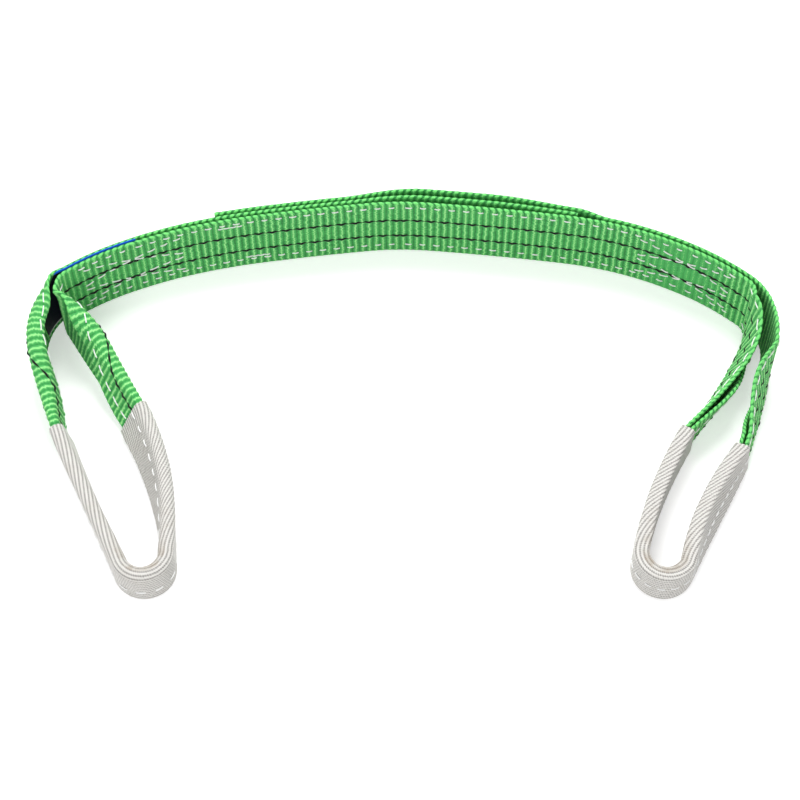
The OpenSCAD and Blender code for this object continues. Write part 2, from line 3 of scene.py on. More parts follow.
import bpy
import numpy as np
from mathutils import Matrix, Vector


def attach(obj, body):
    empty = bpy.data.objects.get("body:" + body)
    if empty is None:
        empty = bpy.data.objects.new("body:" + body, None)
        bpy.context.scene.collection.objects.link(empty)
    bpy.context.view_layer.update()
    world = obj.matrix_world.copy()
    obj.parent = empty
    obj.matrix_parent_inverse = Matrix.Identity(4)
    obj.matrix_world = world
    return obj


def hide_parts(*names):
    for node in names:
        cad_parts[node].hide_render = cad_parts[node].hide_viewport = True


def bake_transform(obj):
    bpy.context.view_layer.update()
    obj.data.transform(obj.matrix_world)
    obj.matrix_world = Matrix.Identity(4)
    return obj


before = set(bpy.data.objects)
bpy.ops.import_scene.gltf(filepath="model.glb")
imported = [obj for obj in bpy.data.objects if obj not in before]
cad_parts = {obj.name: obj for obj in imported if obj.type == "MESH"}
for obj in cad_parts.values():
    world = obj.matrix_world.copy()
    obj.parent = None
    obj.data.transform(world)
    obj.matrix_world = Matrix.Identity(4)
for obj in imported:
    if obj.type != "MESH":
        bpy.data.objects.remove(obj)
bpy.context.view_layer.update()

mm = 0.001
tau = 2 * math.pi
tiny = 1e-9
join = np.concatenate
print("frame loaded:", len(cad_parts), "nodes")

# the sling's lay, in millimetres and degrees, as the CAD part has it
lay = {
    "web": 60.0, "thick": 3.2, "plyPitch": 3.7,
    "leftArcs": [(22, 6), (83, 3), (45, 6), (50, 8), (39, 11)],  # length and turn, from the middle out
    "rightArcs": [(22, 5), (98, 3), (45, 10), (50, 11), (36, 11)],
    "leftBend": 150.0, "rightBend": 165.0, "leftThroat": 239.0, "rightThroat": 251.0,
    "leftSplit": 194.0, "rightSplit": 208.0,  # where body web and eye web meet
    "leftTailEnd": 126.0, "rightTailEnd": -131.0,
    "lapStep": 22.0, "lapEase": 0.4, "bead": 1.5, "beadRun": 3.2,
    "tailStand": 4.4, "standLeft": 40.0, "standRise": 55.0, "standEnd": 135.0, "standFall": 70.0,
    "stationsPerMm": 2,
}
eyes = {
    "left": {
        "side": -1, "reach": 213.0, "turn": 72.0, "throatTurn": 85.0,
        "innerSwell": 72.0, "innerClose": 75.0, "outerSwell": 52.0, "outerClose": 110.0,
        "sleeveLeg": 112.0, "lean": 30.0, "inward": 0.0,
        "rollRun": 46.0, "widenRun": 90.0, "looseR": 5.0, "flip": False,
        "outerRoll": 6.0, "outerRollRun": 34.0, "outerWiden": 42.0,
        "outerLean": 9.0, "outerInward": 0.0, "outerTuck": 0.0,
    },
    "right": {
        "side": 1, "reach": 209.0, "turn": 67.5, "throatTurn": 67.0,
        "innerSwell": 40.0, "innerClose": 82.0, "outerSwell": 58.0, "outerClose": 70.0,
        "sleeveLeg": 98.0, "lean": 0.0, "inward": 20.0,
        "rollRun": 34.0, "widenRun": 62.0, "looseR": 2.8, "flip": True,
        "outerRoll": 24.0, "outerRollRun": 50.0, "outerWiden": 66.0,
        "outerLean": 0.0, "outerInward": 13.0, "outerTuck": 15.0,
    },
}
eyeCommon = {
    "hingeReach": 3.85, "stub": 1.2, "throatR": 11.0, "innerArrival": 62.0, "outerArrival": 80.0,
    "innerRoll": 8.0, "innerWiden": 16.0, "outerWidenRun": 62.0, "tightRun": 45.0,
    "bendR": 1.85, "crownR": 17.95, "sleevePad": 1.65, "sleeveHalf": 5.1, "leanLead": 0.7,
    "inwardLift": 7.35, "leastFlap": 1.0, "leastFold": 1.0, "leanFrom": 0.3, "tuckShare": 0.85,
    "legStations": 260, "stubStations": 12, "turnStations": 40, "crownStations": 80, "backStations": 10,
}
blockSet = {  # how flat the ribs are sewn, along the block and at its throat
    "ease": 26.0, "lead": 28.0,
    "left": {"flat": 0.12, "throatFlat": 0.2}, "right": {"flat": 0.4, "throatFlat": 0.0},
}


railKeys = ("x", "y", "ux", "uy", "phi", "flap", "bend", "done", "lean", "press")


def smooth(x):
    k = np.clip(x, 0, 1)
    return k * k * (3 - 2 * k)


def walkArcs(arcs, run):  # x, y and heading after a run along the arcs
    left = np.asarray(run, float)
    x, y, h = np.zeros_like(left), np.zeros_like(left), np.zeros_like(left)
    for length, degrees in arcs:
        part = np.clip(left, 0, length)
        left = left - part
        whole = math.radians(degrees)
        turn, r = whole * part / length, length / whole
        x = x + r * (np.sin(h + turn) - np.sin(h))
        y = y - r * (np.cos(h) - np.cos(h + turn))
        h = h + turn
    return x, y, h


def layerOff(kind, s):  # how far a layer lies behind the front ply
    stand = (lay["tailStand"] * smooth((s + lay["standLeft"]) / lay["standRise"])
             * smooth((lay["standEnd"] - s) / lay["standFall"]))
    if kind == "front":
        return np.zeros_like(s)
    if kind == "leftTail":
        return lay["plyPitch"] + stand / 2
    step = smooth((lay["leftTailEnd"] + lay["lapStep"] - s) / (lay["lapStep"] - lay["lapEase"]))
    return stand + lay["plyPitch"] * (1 + step)


def sewnPress(name, s):  # how high the ribs stand where a block is sewn
    c = blockSet[name]
    inBlock = smooth((s - lay[name + "Bend"]) / blockSet["ease"])
    byThroat = smooth((s - lay[name + "Throat"] + blockSet["lead"]) / blockSet["lead"])
    return 1 - inBlock * (c["flat"] + (c["throatFlat"] - c["flat"]) * byThroat)


def flatRail(x, y, ux, uy, bend, press):  # a rail of flat, upright web
    c, one = eyeCommon, np.ones(len(x))
    return {"x": x, "y": y, "ux": ux, "uy": uy, "phi": c["leastFold"] * one, "flap": c["leastFlap"] * one,
            "bend": bend * one, "done": 0 * one, "lean": 0 * one, "press": press}


def polyLength(points):
    return join([[0], np.cumsum(np.linalg.norm(np.diff(points, axis=0), axis=1))])


def measureRail(rail):
    steps = np.hypot(np.diff(rail["x"]), np.diff(rail["y"]))
    rail["along"] = join([[0], np.cumsum(steps)])


def bodyRail(kind, s0, s1):
    s = np.linspace(s0, s1, int(abs(s1 - s0)) * lay["stationsPerMm"] + 1)
    off = layerOff(kind, s)
    lx, ly, lh = walkArcs(lay["leftArcs"], np.maximum(-s, 0))
    rx, ry, rh = walkArcs(lay["rightArcs"], np.maximum(s, 0))
    side = np.where(s < 0, -1.0, 1.0)
    h = np.where(s < 0, lh, rh)
    ox, oy = side * np.sin(h), np.cos(h)
    face = 1.0 if kind == "front" else -1.0
    rail = flatRail(side * np.where(s < 0, lx, rx) + off * ox, np.where(s < 0, ly, ry) + off * oy,
                    face * ox, face * oy, eyeCommon["bendR"], sewnPress("left", -s) * sewnPress("right", s))
    rail["s"] = s
    measureRail(rail)
    if kind == "rightTail":  # its cut end is melted to a bead
        rail["press"] = rail["press"] * (1 + lay["bead"] * np.exp(-(rail["along"] / lay["beadRun"]) ** 2))
    return rail


def bezier(p, t):
    t = t[:, None]
    return (1 - t) ** 3 * p[0] + 3 * t * (1 - t) ** 2 * p[1] + 3 * t * t * (1 - t) * p[2] + t ** 3 * p[3]


def bezierHeading(p, t):
    t = t[:, None]
    d = (1 - t) ** 2 * (p[1] - p[0]) + 2 * t * (1 - t) * (p[2] - p[1]) + t * t * (p[3] - p[2])
    return np.degrees(np.arctan2(d[:, 1], d[:, 0]))


def way(degrees):
    return np.array([math.cos(math.radians(degrees)), math.sin(math.radians(degrees))])


def foldOver(run, roll, rollRun, widen, widenRun, toSleeve, looseR):  # how far the web's edge has rolled
    c = eyeCommon
    tight = smooth((run - toSleeve + c["tightRun"]) / c["tightRun"])
    bend = c["bendR"] + (looseR - c["bendR"]) * (1 - tight)
    done = smooth((run - widen) / widenRun)
    phi = np.maximum(c["leastFold"], 180 * smooth((run - roll) / rollRun))
    flap = c["leastFlap"] + ((lay["web"] - math.pi * bend) / 2 - c["leastFlap"]) * done
    return phi, flap, bend, done


def eyeRail(name):  # front ply, inner leg, crown, outer leg, back ply
    eye, c = eyes[name], eyeCommon
    arcs, throat, split = lay[name + "Arcs"], lay[name + "Throat"], lay[name + "Split"]
    crown = eye["reach"] * way(eye["turn"])
    turn = eye["throatTurn"]
    straight = c["hingeReach"] + c["stub"]
    p0 = np.array([straight + c["throatR"] * math.sin(math.radians(turn)),
                   c["throatR"] * (1 - math.cos(math.radians(turn)))])
    p3 = crown + c["crownR"] * way(c["innerArrival"] + 90)
    inner = [p0, p0 + eye["innerSwell"] * way(turn), p3 - eye["innerClose"] * way(c["innerArrival"]), p3]
    q0 = np.array([c["hingeReach"], -lay["plyPitch"]])
    q3 = crown + c["crownR"] * way(c["outerArrival"] - 90)
    outer = [q0, q0 + np.array([eye["outerSwell"], 0]), q3 - eye["outerClose"] * way(c["outerArrival"]), q3]
    t = np.linspace(0, 1, c["legStations"])
    innerLine, outerLine = bezier(inner, t), bezier(outer, t)
    innerLen, outerLen = polyLength(innerLine), polyLength(outerLine)
    turnLen = c["stub"] + c["throatR"] * math.radians(turn)
    innerMouth = turnLen + innerLen[-1] - eye["sleeveLeg"]
    outerMouth = outerLen[-1] - eye["sleeveLeg"]

    def innerFold(run):
        return foldOver(run, c["innerRoll"], eye["rollRun"], c["innerWiden"], eye["widenRun"],
                        innerMouth, eye["looseR"])

    def outerFold(run):
        return foldOver(run, eye["outerRoll"], eye["outerRollRun"], eye["outerWiden"], c["outerWidenRun"],
                        outerMouth, eye["looseR"])

    parts = []  # x, y, heading, fold and lean of each stretch
    x = np.linspace(0, straight, c["stubStations"])[:-1]
    parts.append((x, 0 * x, 0 * x, innerFold(x - c["hingeReach"]), 0 * x))
    a = np.linspace(0, turn, c["turnStations"])[:-1]
    r = np.radians(a)
    parts.append((straight + c["throatR"] * np.sin(r), c["throatR"] * (1 - np.cos(r)), a,
                  innerFold(c["stub"] + c["throatR"] * r), 0 * a))
    mouthT = np.interp(innerMouth - turnLen, innerLen, t)
    lean = (eye["lean"] * np.sin(math.pi * t ** c["leanLead"])
            - eye["inward"] * np.sin(math.pi * np.minimum(1, t / mouthT)))
    parts.append((*innerLine.T, bezierHeading(inner, t), innerFold(turnLen + innerLen), lean))
    a = np.linspace(c["innerArrival"], c["outerArrival"] - 180, c["crownStations"])[1:-1]
    ring = crown + c["crownR"] * np.stack([np.cos(np.radians(a + 90)), np.sin(np.radians(a + 90))], 1)
    full = np.ones_like(a)
    halfFlat = (lay["web"] - math.pi * c["bendR"]) / 2
    parts.append((*ring.T, a, (180 * full, halfFlat * full, c["bendR"] * full, full), 0 * a))
    mouthT = np.interp(outerMouth, outerLen, t)
    tuckFrom = c["leanFrom"] + c["tuckShare"] * (mouthT - c["leanFrom"])
    inward = np.clip((t - c["leanFrom"]) / (mouthT - c["leanFrom"]), 0, 1)
    lean = (eye["outerLean"] * np.sin(math.pi * t) - eye["outerInward"] * np.sin(math.pi * inward)
            - eye["outerTuck"] * np.sin(math.pi * np.maximum(0, t - tuckFrom) / (1 - tuckFrom)))
    parts.append((*outerLine[::-1].T, bezierHeading(outer, t)[::-1] - 180,
                  tuple(v[::-1] for v in outerFold(outerLen)), lean[::-1]))
    x = np.linspace(c["hingeReach"], 0, c["backStations"])[1:]
    parts.append((x, 0 * x - lay["plyPitch"], 0 * x - 180, outerFold(0 * x), 0 * x))

    px, py, ph = (float(v) for v in walkArcs(arcs, throat))  # from the throat's own axes to the frame
    lx, ly, heading = (join([p[k] for p in parts]) for k in range(3))
    fold = [join([p[3][k] for p in parts]) for k in range(4)]
    legLean = join([p[4] for p in parts])
    wx = px + lx * math.cos(ph) - ly * math.sin(ph)
    wy = py - lx * math.sin(ph) - ly * math.cos(ph)
    toward = np.radians(heading) + ph
    s = np.linspace(split, throat, int(throat - split) * lay["stationsPerMm"])[:-1]
    bx, by, bh = walkArcs(arcs, s)
    n, ox, oy, off, pressed = len(s), np.sin(bh), np.cos(bh), lay["plyPitch"], sewnPress(name, s)
    front = flatRail(bx, by, ox, oy, eye["looseR"], pressed)
    back = flatRail(bx + off * ox, by + off * oy, -ox, -oy, eye["looseR"], pressed)
    easeOut = 1 - (1 - pressed[-1]) * (1 - smooth(polyLength(np.stack([wx, wy], 1)) / blockSet["ease"]))
    legs = {"x": wx, "y": wy, "ux": np.sin(toward), "uy": np.cos(toward), "lean": legLean,
            "press": np.minimum(easeOut, easeOut[::-1]), **dict(zip(("phi", "flap", "bend", "done"), fold))}
    rail = {k: join([front[k], legs[k], back[k][::-1]]) for k in railKeys}
    rail["ux"], rail["x"] = eye["side"] * rail["ux"], eye["side"] * rail["x"]
    measureRail(rail)
    lead = rail["along"][n]
    crownAt = lead + c["hingeReach"] + turnLen + innerLen[-1]
    crownEnd = crownAt + c["crownR"] * math.radians(c["innerArrival"] - c["outerArrival"] + 180)
    rail["throatIn"], rail["throatOut"] = lead, rail["along"][-n]
    rail["sleeve"] = (crownAt - eye["sleeveLeg"], crownAt, crownEnd, crownEnd + eye["sleeveLeg"])
    rail["flip"] = eye["flip"]
    return rail


def railAt(rail, along):  # the rail's values at these distances
    got = {k: np.interp(along, rail["along"], rail[k]) for k in railKeys}
    size = np.hypot(got["ux"], got["uy"])
    got["ux"], got["uy"] = got["ux"] / size, got["uy"] / size
    got["flip"] = rail.get("flip", False)
    return got


def foldedSection(at, w, d):  # points across the web, d out from its middle
    phi, bend = np.radians(at["phi"])[:, None], at["bend"][:, None]
    bendLen = math.pi * bend
    start = lay["web"] - bendLen - at["flap"][:, None]
    r = bendLen / phi
    theta = phi * np.clip((w - start) / bendLen, 0, 1)
    past = np.maximum(0, w - start - bendLen)
    u = r * (1 - np.cos(theta)) + past * np.sin(phi) - d * np.cos(theta)
    z = np.minimum(w, start) + r * np.sin(theta) + past * np.cos(phi) + d * np.sin(theta)
    return u, z


def placeSection(at, u, z):  # leans a section and sets it on the rail
    c = eyeCommon
    lean = np.radians(at["lean"])[:, None]
    lift = np.where(lean > 0, c["sleeveHalf"], -c["inwardLift"]) * np.sin(lean)
    across = c["bendR"] + (u - c["bendR"]) * np.cos(lean) - z * np.sin(lean)
    up = (u - c["bendR"]) * np.sin(lean) + z * np.cos(lean) + lift
    return np.stack([at["x"][:, None] + across * at["ux"][:, None],
                     at["y"][:, None] + across * at["uy"][:, None], up], -1)


def unit(v):
    return v / np.maximum(np.linalg.norm(v, axis=-1, keepdims=True), tiny)


def gridOutward(grid):  # outward direction at each point of closed rings
    around = np.roll(grid, -1, 1) - np.roll(grid, 1, 1)
    out = unit(np.cross(around, np.gradient(grid, axis=0)))
    middle = grid.mean(1, keepdims=True)
    return -out if float((out * (grid - middle)).sum()) < 0 else out


def gridFaces(rings, columns):
    i, j = np.meshgrid(np.arange(rings - 1), np.arange(columns), indexing="ij")
    a, b = i * columns + j, i * columns + (j + 1) % columns
    return np.stack([a, b, b + columns, a + columns], -1).reshape(-1, 4)


def endCap(columns, first):  # quads across a ring, front face to back face
    i = np.arange(columns // 2 - 1)
    a, b = first + i, first + columns - 1 - i
    return np.stack([a, a + 1, b - 1, b], -1)


def cappedFaces(rings, columns):
    return join([gridFaces(rings, columns), endCap(columns, 0)[:, ::-1],
                 endCap(columns, (rings - 1) * columns)])


def signedVolume(points, faces):
    p = points[faces]
    first = np.einsum("ij,ij->i", p[:, 0], np.cross(p[:, 1], p[:, 2])).sum()
    return first + np.einsum("ij,ij->i", p[:, 0], np.cross(p[:, 2], p[:, 3])).sum()


def addObject(name, data):
    obj = bpy.data.objects.new(name, data)
    bpy.context.scene.collection.objects.link(obj)
    return obj


def bareMesh(name, points, edges, faces, values):  # mesh object from millimetres, with point attributes
    data = bpy.data.meshes.new(name)
    data.from_pydata((points * mm).tolist(), edges, faces)
    for key, value in values.items():
        vector = value.ndim == 2
        made = data.attributes.new(key, "FLOAT_VECTOR" if vector else "FLOAT", "POINT")
        made.data.foreach_set("vector" if vector else "value", value.astype(np.float32).ravel())
    return addObject(name, data)


sharpFrom = 62  # degrees between faces


def clothMesh(name, points, faces, values):  # smooth mesh, faces outward
    if signedVolume(points, faces) < 0:
        faces = faces[:, ::-1]
    obj = bareMesh(name, points, [], faces.tolist(), values)
    obj.data.shade_smooth()
    obj.data.set_sharp_from_angle(angle=math.radians(sharpFrom))
    return obj


class Wire:  # a socket that can be written in sums
    def __init__(self, net, socket):
        self.net, self.socket = net, socket

    def __add__(self, term): return self.net.maths("ADD", self, term)
    def __radd__(self, term): return self.net.maths("ADD", term, self)
    def __sub__(self, term): return self.net.maths("SUBTRACT", self, term)
    def __rsub__(self, term): return self.net.maths("SUBTRACT", term, self)
    def __mul__(self, term): return self.net.maths("MULTIPLY", self, term)
    def __rmul__(self, term): return self.net.maths("MULTIPLY", term, self)
    def __truediv__(self, term): return self.net.maths("DIVIDE", self, term)
    def __rtruediv__(self, term): return self.net.maths("DIVIDE", term, self)
    def __pow__(self, term): return self.net.maths("POWER", self, term)

    def other(self, name):  # another output of the same node
        return Wire(self.net, self.socket.node.outputs[name])


class Net:  # a node tree under construction
    def __init__(self, tree):
        self.tree = tree

    def node(self, kind, settings=None, sockets=None, out=0):
        made = self.tree.nodes.new(kind)
        for key, value in (settings or {}).items():
            setattr(made, key, value)
        for key, value in (sockets or {}).items():
            if isinstance(value, Wire):
                self.tree.links.new(value.socket, made.inputs[key])
            else:
                made.inputs[key].default_value = value
        return Wire(self, made.outputs[out]) if made.outputs else None

    def maths(self, operation, *terms):
        return self.node("ShaderNodeMath", {"operation": operation}, dict(enumerate(terms)))

    def hump(self, phase):  # 0 at whole turns, 1 between them
        return 0.5 - self.maths("COSINE", phase * tau) * 0.5

    def triple(self, x, y, z):
        return self.node("ShaderNodeCombineXYZ", None, {0: x, 1: y, 2: z})

    def mix(self, factor, a, b):  # colours a to b
        a, b = (c if isinstance(c, Wire) else (*c, 1) for c in (a, b))
        return self.node("ShaderNodeMix", {"data_type": "RGBA"}, {0: factor, 6: a, 7: b}, out=2)

    def span(self, value, limits, toLow=0.0, toHigh=1.0):
        return self.node("ShaderNodeMapRange", {"interpolation_type": "SMOOTHSTEP"},
                         {0: value, 1: limits[0], 2: limits[1], 3: toLow, 4: toHigh})

    def noise(self, place, scale, detail):
        return self.node("ShaderNodeTexNoise", None, {"Vector": place, "Scale": scale, "Detail": detail})

    def chance(self, place):
        return self.node("ShaderNodeTexWhiteNoise", {"noise_dimensions": "3D"}, {"Vector": place})

    def bump(self, strength, depth, height):
        return self.node("ShaderNodeBump", None, {"Strength": strength, "Distance": depth, "Height": height})

    def attribute(self, name):
        return self.node("ShaderNodeAttribute", {"attribute_name": name}, out="Fac")


class Tree(Net):  # a Geometry Nodes tree with named inputs
    def __init__(self, name, *inputs):
        super().__init__(bpy.data.node_groups.new(name, "GeometryNodeTree"))
        face = self.tree.interface
        face.new_socket("Geometry", in_out="INPUT", socket_type="NodeSocketGeometry")
        for label in (*inputs, "Material"):
            kind = {"Material": "Material", "Seed": "Int"}.get(label, "Float")
            face.new_socket(label, in_out="INPUT", socket_type="NodeSocket" + kind)
        face.new_socket("Geometry", in_out="OUTPUT", socket_type="NodeSocketGeometry")
        self.start = self.node("NodeGroupInput")

    def given(self, label):
        return self.start.other(label)

    def named(self, name, kind="FLOAT"):
        return self.node("GeometryNodeInputNamedAttribute", {"data_type": kind}, {"Name": name})

    def moveOut(self, lift):  # moves each point along its own outward direction
        offset = self.node("ShaderNodeVectorMath", {"operation": "SCALE"},
                           {0: self.named("outward", "FLOAT_VECTOR"), "Scale": lift})
        return self.node("GeometryNodeSetPosition", None, {"Geometry": self.start, "Offset": offset})

    def tube(self, curve, sides, radius, swell=1.0):  # a smooth closed tube along a curve
        ring = self.node("GeometryNodeCurvePrimitiveCircle", {"mode": "RADIUS"},
                         {"Resolution": sides, "Radius": radius})
        skin = self.node("GeometryNodeCurveToMesh", None,
                         {"Curve": curve, "Profile Curve": ring, "Scale": swell, "Fill Caps": True})
        return self.node("GeometryNodeSetShadeSmooth", None, {0: skin})

    def close(self, geometry):
        real = self.node("GeometryNodeRealizeInstances", None, {0: geometry})
        done = self.node("GeometryNodeSetMaterial", None, {0: real, "Material": self.given("Material")})
        self.node("NodeGroupOutput", None, {0: done})
        return self


def settle(obj, tree, values):  # runs a tree on obj and keeps the plain mesh
    run = obj.modifiers.new("build", "NODES")
    run.node_group = tree.tree
    for item in tree.tree.interface.items_tree:
        if item.item_type == "SOCKET" and item.in_out == "INPUT" and item.name in values:
            run[item.identifier] = values[item.name]
    graph = bpy.context.evaluated_depsgraph_get()
    made = bpy.data.meshes.new_from_object(obj.evaluated_get(graph), preserve_all_data_layers=True,
                                           depsgraph=graph)
    obj.modifiers.remove(run)
    old = obj.data
    obj.data = made
    bpy.data.meshes.remove(old)
    made.name = obj.name


def newMaterial(name):
    made = bpy.data.materials.new(name)
    made.use_nodes = True
    return made, Net(made.node_tree)


def dress(net, c, color, grain, height):  # colour, roughness, bump and gloss of a cloth
    shader = net.tree.nodes["Principled BSDF"]
    rough, spread = c["rough"]
    links = {"Base Color": color, "Roughness": rough + grain * spread, "Normal": net.bump(*c["bump"], height)}
    for key, wire in links.items():
        net.tree.links.new(wire.socket, shader.inputs[key])
    for key, value in c["gloss"].items():
        shader.inputs[key].default_value = value


webSet = {
    "ribStand": 0.17,  # how far rib crests pass the plain thickness
    "ribPitch": 4.95, "legRibPitch": 4.3, "legEase": 10.0, "ribHeight": 0.62, "sharpness": 1.25,
    "core": 1.1, "edgeRun": 1.5, "inset": 0.5, "faceColumns": 45, "edgeColumns": 6, "ladder": 61,
    "bodySteps": 8, "eyeSteps": 7, "yarnPitch": 1.25, "yarnJitter": 0.07, "yarnHeight": 0.10,
    "innerShare": 0.5, "edgeShare": 0.36,  # rib height on the inner face and the edges
    "foldedFrom": 0.3, "foldedShare": 0.6, "backFrom": 0.45,
}
webLook = {
    # the valley colour is painted shade and the crest colour painted highlight
    "valley": (0.024, 0.205, 0.046), "face": (0.068, 0.425, 0.102), "crest": (0.370, 0.880, 0.310),
    # the selvedge colour is painted highlight
    "selvedge": (0.190, 0.720, 0.190), "worn": (0.10, 0.52, 0.12),
    "faceSpan": (0.0, 0.35), "crestSpan": (0.80, 0.96), "crestLeast": 0.55,
    "edgeSpan": (0.9, 2.4), "edgeLit": (0.1, 0.5), "wornSpan": (0.35, 0.75), "wornMost": 0.2,
    # inside darkens the inner faces: painted shade
    # the leg lift lightens the legs: painted light
    "inside": -0.12, "legLift": 0.11, "flatten": 0.8, "flatTone": 0.5, "yarnPitch": 0.85, "tooth": 0.20,
    "fleckAcross": 0.9, "fleckAlong": 2.4, "fleck": 0.35, "patch": 0.05, "yarnTone": 0.16, "yarnMean": 0.6,
    "heights": (0.5, 0.35, 0.15), "bump": (0.6, 0.0005), "rough": (0.6, 0.25),
    "gloss": {"Sheen Weight": 0.04, "Specular IOR Level": 0.22},
}


def makeWebGreen():
    c = webLook
    made, net = newMaterial("webGreen")
    across, along = net.attribute("acrossMm"), net.attribute("ribAlong")
    yarn = net.maths("FLOOR", across / c["yarnPitch"])
    chance = net.chance(net.triple(yarn, net.maths("FLOOR", along), net.attribute("faceSide")))
    phase = along + (chance - 0.5) * c["tooth"]  # each yarn's crest sits a little on or back
    relief = 1 - net.attribute("sewnFlat") * c["flatten"]
    crest = c["flatTone"] + (net.hump(phase) - c["flatTone"]) * relief
    yarnRound = net.maths("SINE", net.maths("FRACT", across / c["yarnPitch"]) * math.pi)
    place = net.triple(across * c["fleckAcross"], along * c["fleckAlong"], 0.0)
    fleck, patch = net.noise(place, 1.0, 3.0), net.noise(place, c["patch"], 2.0)
    lit = crest + (fleck - 0.5) * c["fleck"] + (yarnRound - c["yarnMean"]) * c["yarnTone"]
    # painted shade: the inner faces, seen inside the throats, are painted darker
    lit = lit + net.attribute("faceSide") * c["inside"]
    lit = lit + net.attribute("legTone") * c["legLift"]  # painted light: the legs are painted paler than the sewn body
    # painted shade: the low tones run to a dark colour in the rib valleys
    low = net.mix(net.span(lit, c["faceSpan"]), c["valley"], c["face"])
    crestShare = c["crestLeast"] + (1 - c["crestLeast"]) * yarnRound
    # painted highlight: the rib crests are painted pale
    high = net.mix(net.span(lit, c["crestSpan"]) * crestShare, low, c["crest"])
    # painted highlight: the lit crests near both edges are painted paler still
    nearEdge = net.maths("MINIMUM", across, lay["web"] - across)
    paintedEdgeLight = net.span(nearEdge, c["edgeSpan"], 1.0, 0.0) * net.span(lit, c["edgeLit"])
    edge = net.mix(paintedEdgeLight, high, c["selvedge"])
    color = net.mix(net.span(patch, c["wornSpan"], 0.0, c["wornMost"]), edge, c["worn"])
    yarnHigh, fleckHigh, crestHigh = c["heights"]
    dress(net, c, color, fleck, yarnRound * yarnHigh + fleck * fleckHigh + crest * crestHigh)
    return made


def makeRibTree():  # ribs across the web, yarn by yarn
    tree = Tree("webRibs", "Rib Height", "Sharpness", "Yarn Pitch", "Yarn Jitter", "Yarn Height")
    along = tree.named("ribAlong")
    yarn = tree.maths("FLOOR", tree.named("acrossMm") / tree.given("Yarn Pitch") + 0.5)
    chance = tree.chance(tree.triple(yarn, tree.maths("FLOOR", along), tree.named("faceSide")))
    phase = along + (chance - 0.5) * tree.given("Yarn Jitter")
    crest = tree.hump(phase) ** tree.given("Sharpness")
    lift = crest * tree.given("Rib Height") + (chance - 0.5) * tree.given("Yarn Height")
    return tree.close(tree.moveOut(lift * tree.named("ribPress")))


def webPoints(at, w, d):
    w, d = np.atleast_2d(w), np.atleast_2d(d)
    u, z = foldedSection(at, w, d)
    if at["flip"]:
        ladder = np.linspace(0, lay["web"], webSet["ladder"])[None, :]
        half = lay["thick"] / 2 + webSet["ribStand"]
        top = np.maximum(*(foldedSection(at, ladder, side)[1].max(1) for side in (half, -half)))
        z = top[:, None] - z
    return placeSection(at, u, z + eyeCommon["sleevePad"] * at["done"][:, None])


def webRing():  # ring round the web: w, d, phase shift, rib share
    c, web = webSet, lay["web"]
    n, e, run, inset = c["faceColumns"], c["edgeColumns"], c["edgeRun"], c["inset"]
    w = np.linspace(inset + run, web - inset - run, n)
    a = np.radians(np.linspace(90, -90, e + 2)[1:-1])
    upW, edgeD = web - inset - run + run * np.cos(a), c["core"] * np.sin(a)
    share = np.linspace(0, 1, e + 2)[1:-1]
    ringW = join([w, upW, w[::-1], web - upW[::-1]])
    ringD = join([np.full(n, c["core"]), edgeD, np.full(n, -c["core"]), edgeD[::-1]])
    shift = join([np.zeros(n), 0.5 * share, np.full(n, 0.5), 0.5 * share[::-1]])
    edge = np.full(e, c["edgeShare"])
    press = join([np.ones(n), edge, np.full(n, c["innerShare"]), edge])
    # the ring starts in the middle of the lower edge
    return tuple(np.roll(v, e // 2) for v in (ringW, ringD, shift, press))


def countRibs(rail):  # ribs passed at each point of the rail
    along, ease = rail["along"], webSet["legEase"]
    leg = (smooth((along - rail.get("throatIn", along[-1])) / ease)
           * smooth((rail.get("throatOut", 0) - along) / ease))
    pitch = webSet["ribPitch"] + (webSet["legRibPitch"] - webSet["ribPitch"]) * leg
    count = join([[0], np.cumsum(np.diff(along) / ((pitch[1:] + pitch[:-1]) / 2))])
    rail["ribs"], rail["leg"] = count * round(count[-1]) / count[-1], leg


def makeWeb(name, rail, steps):
    c = webSet
    w, d, shift, press = webRing()
    countRibs(rail)
    ribs = int(round(rail["ribs"][-1]))
    rings = ribs * steps + 1
    count = np.linspace(0, ribs, rings)
    along = np.interp(count, rail["ribs"], rail["along"])
    at = railAt(rail, along)
    grid = webPoints(at, w, d)

    def spread(v):  # one value for each point of the grid
        return np.broadcast_to(v, grid.shape[:2]).ravel().copy()
    share = press[None, :] * at["press"][:, None]
    folded = np.clip(at["done"], 0, 1)[:, None]
    within = (shift[None, :] > c["backFrom"]) & (folded > c["foldedFrom"])  # inner face of a folded leg
    share = np.where(within, share * c["foldedShare"], share)
    obj = clothMesh(name, grid.reshape(-1, 3), cappedFaces(rings, len(w)), {
        "ribAlong": spread(count[:, None] + shift[None, :]), "acrossMm": spread(w),
        "faceSide": spread(np.round(shift * 2)), "ribPress": spread(share),
        "outward": gridOutward(grid).reshape(-1, 3),
        "legTone": spread(np.interp(along, rail["along"], rail["leg"])[:, None]),
        "sewnFlat": spread(1 - np.minimum(at["press"], 1)[:, None])})
    settle(obj, ribTree, {
        "Rib Height": c["ribHeight"] * mm, "Sharpness": c["sharpness"], "Yarn Pitch": c["yarnPitch"],
        "Yarn Jitter": c["yarnJitter"], "Yarn Height": c["yarnHeight"] * mm, "Material": webGreen})
    total = rail["along"][-1]
    print("web", name, ribs, "ribs", len(obj.data.polygons), "faces", round(total, 1), "mm")
    return obj, total


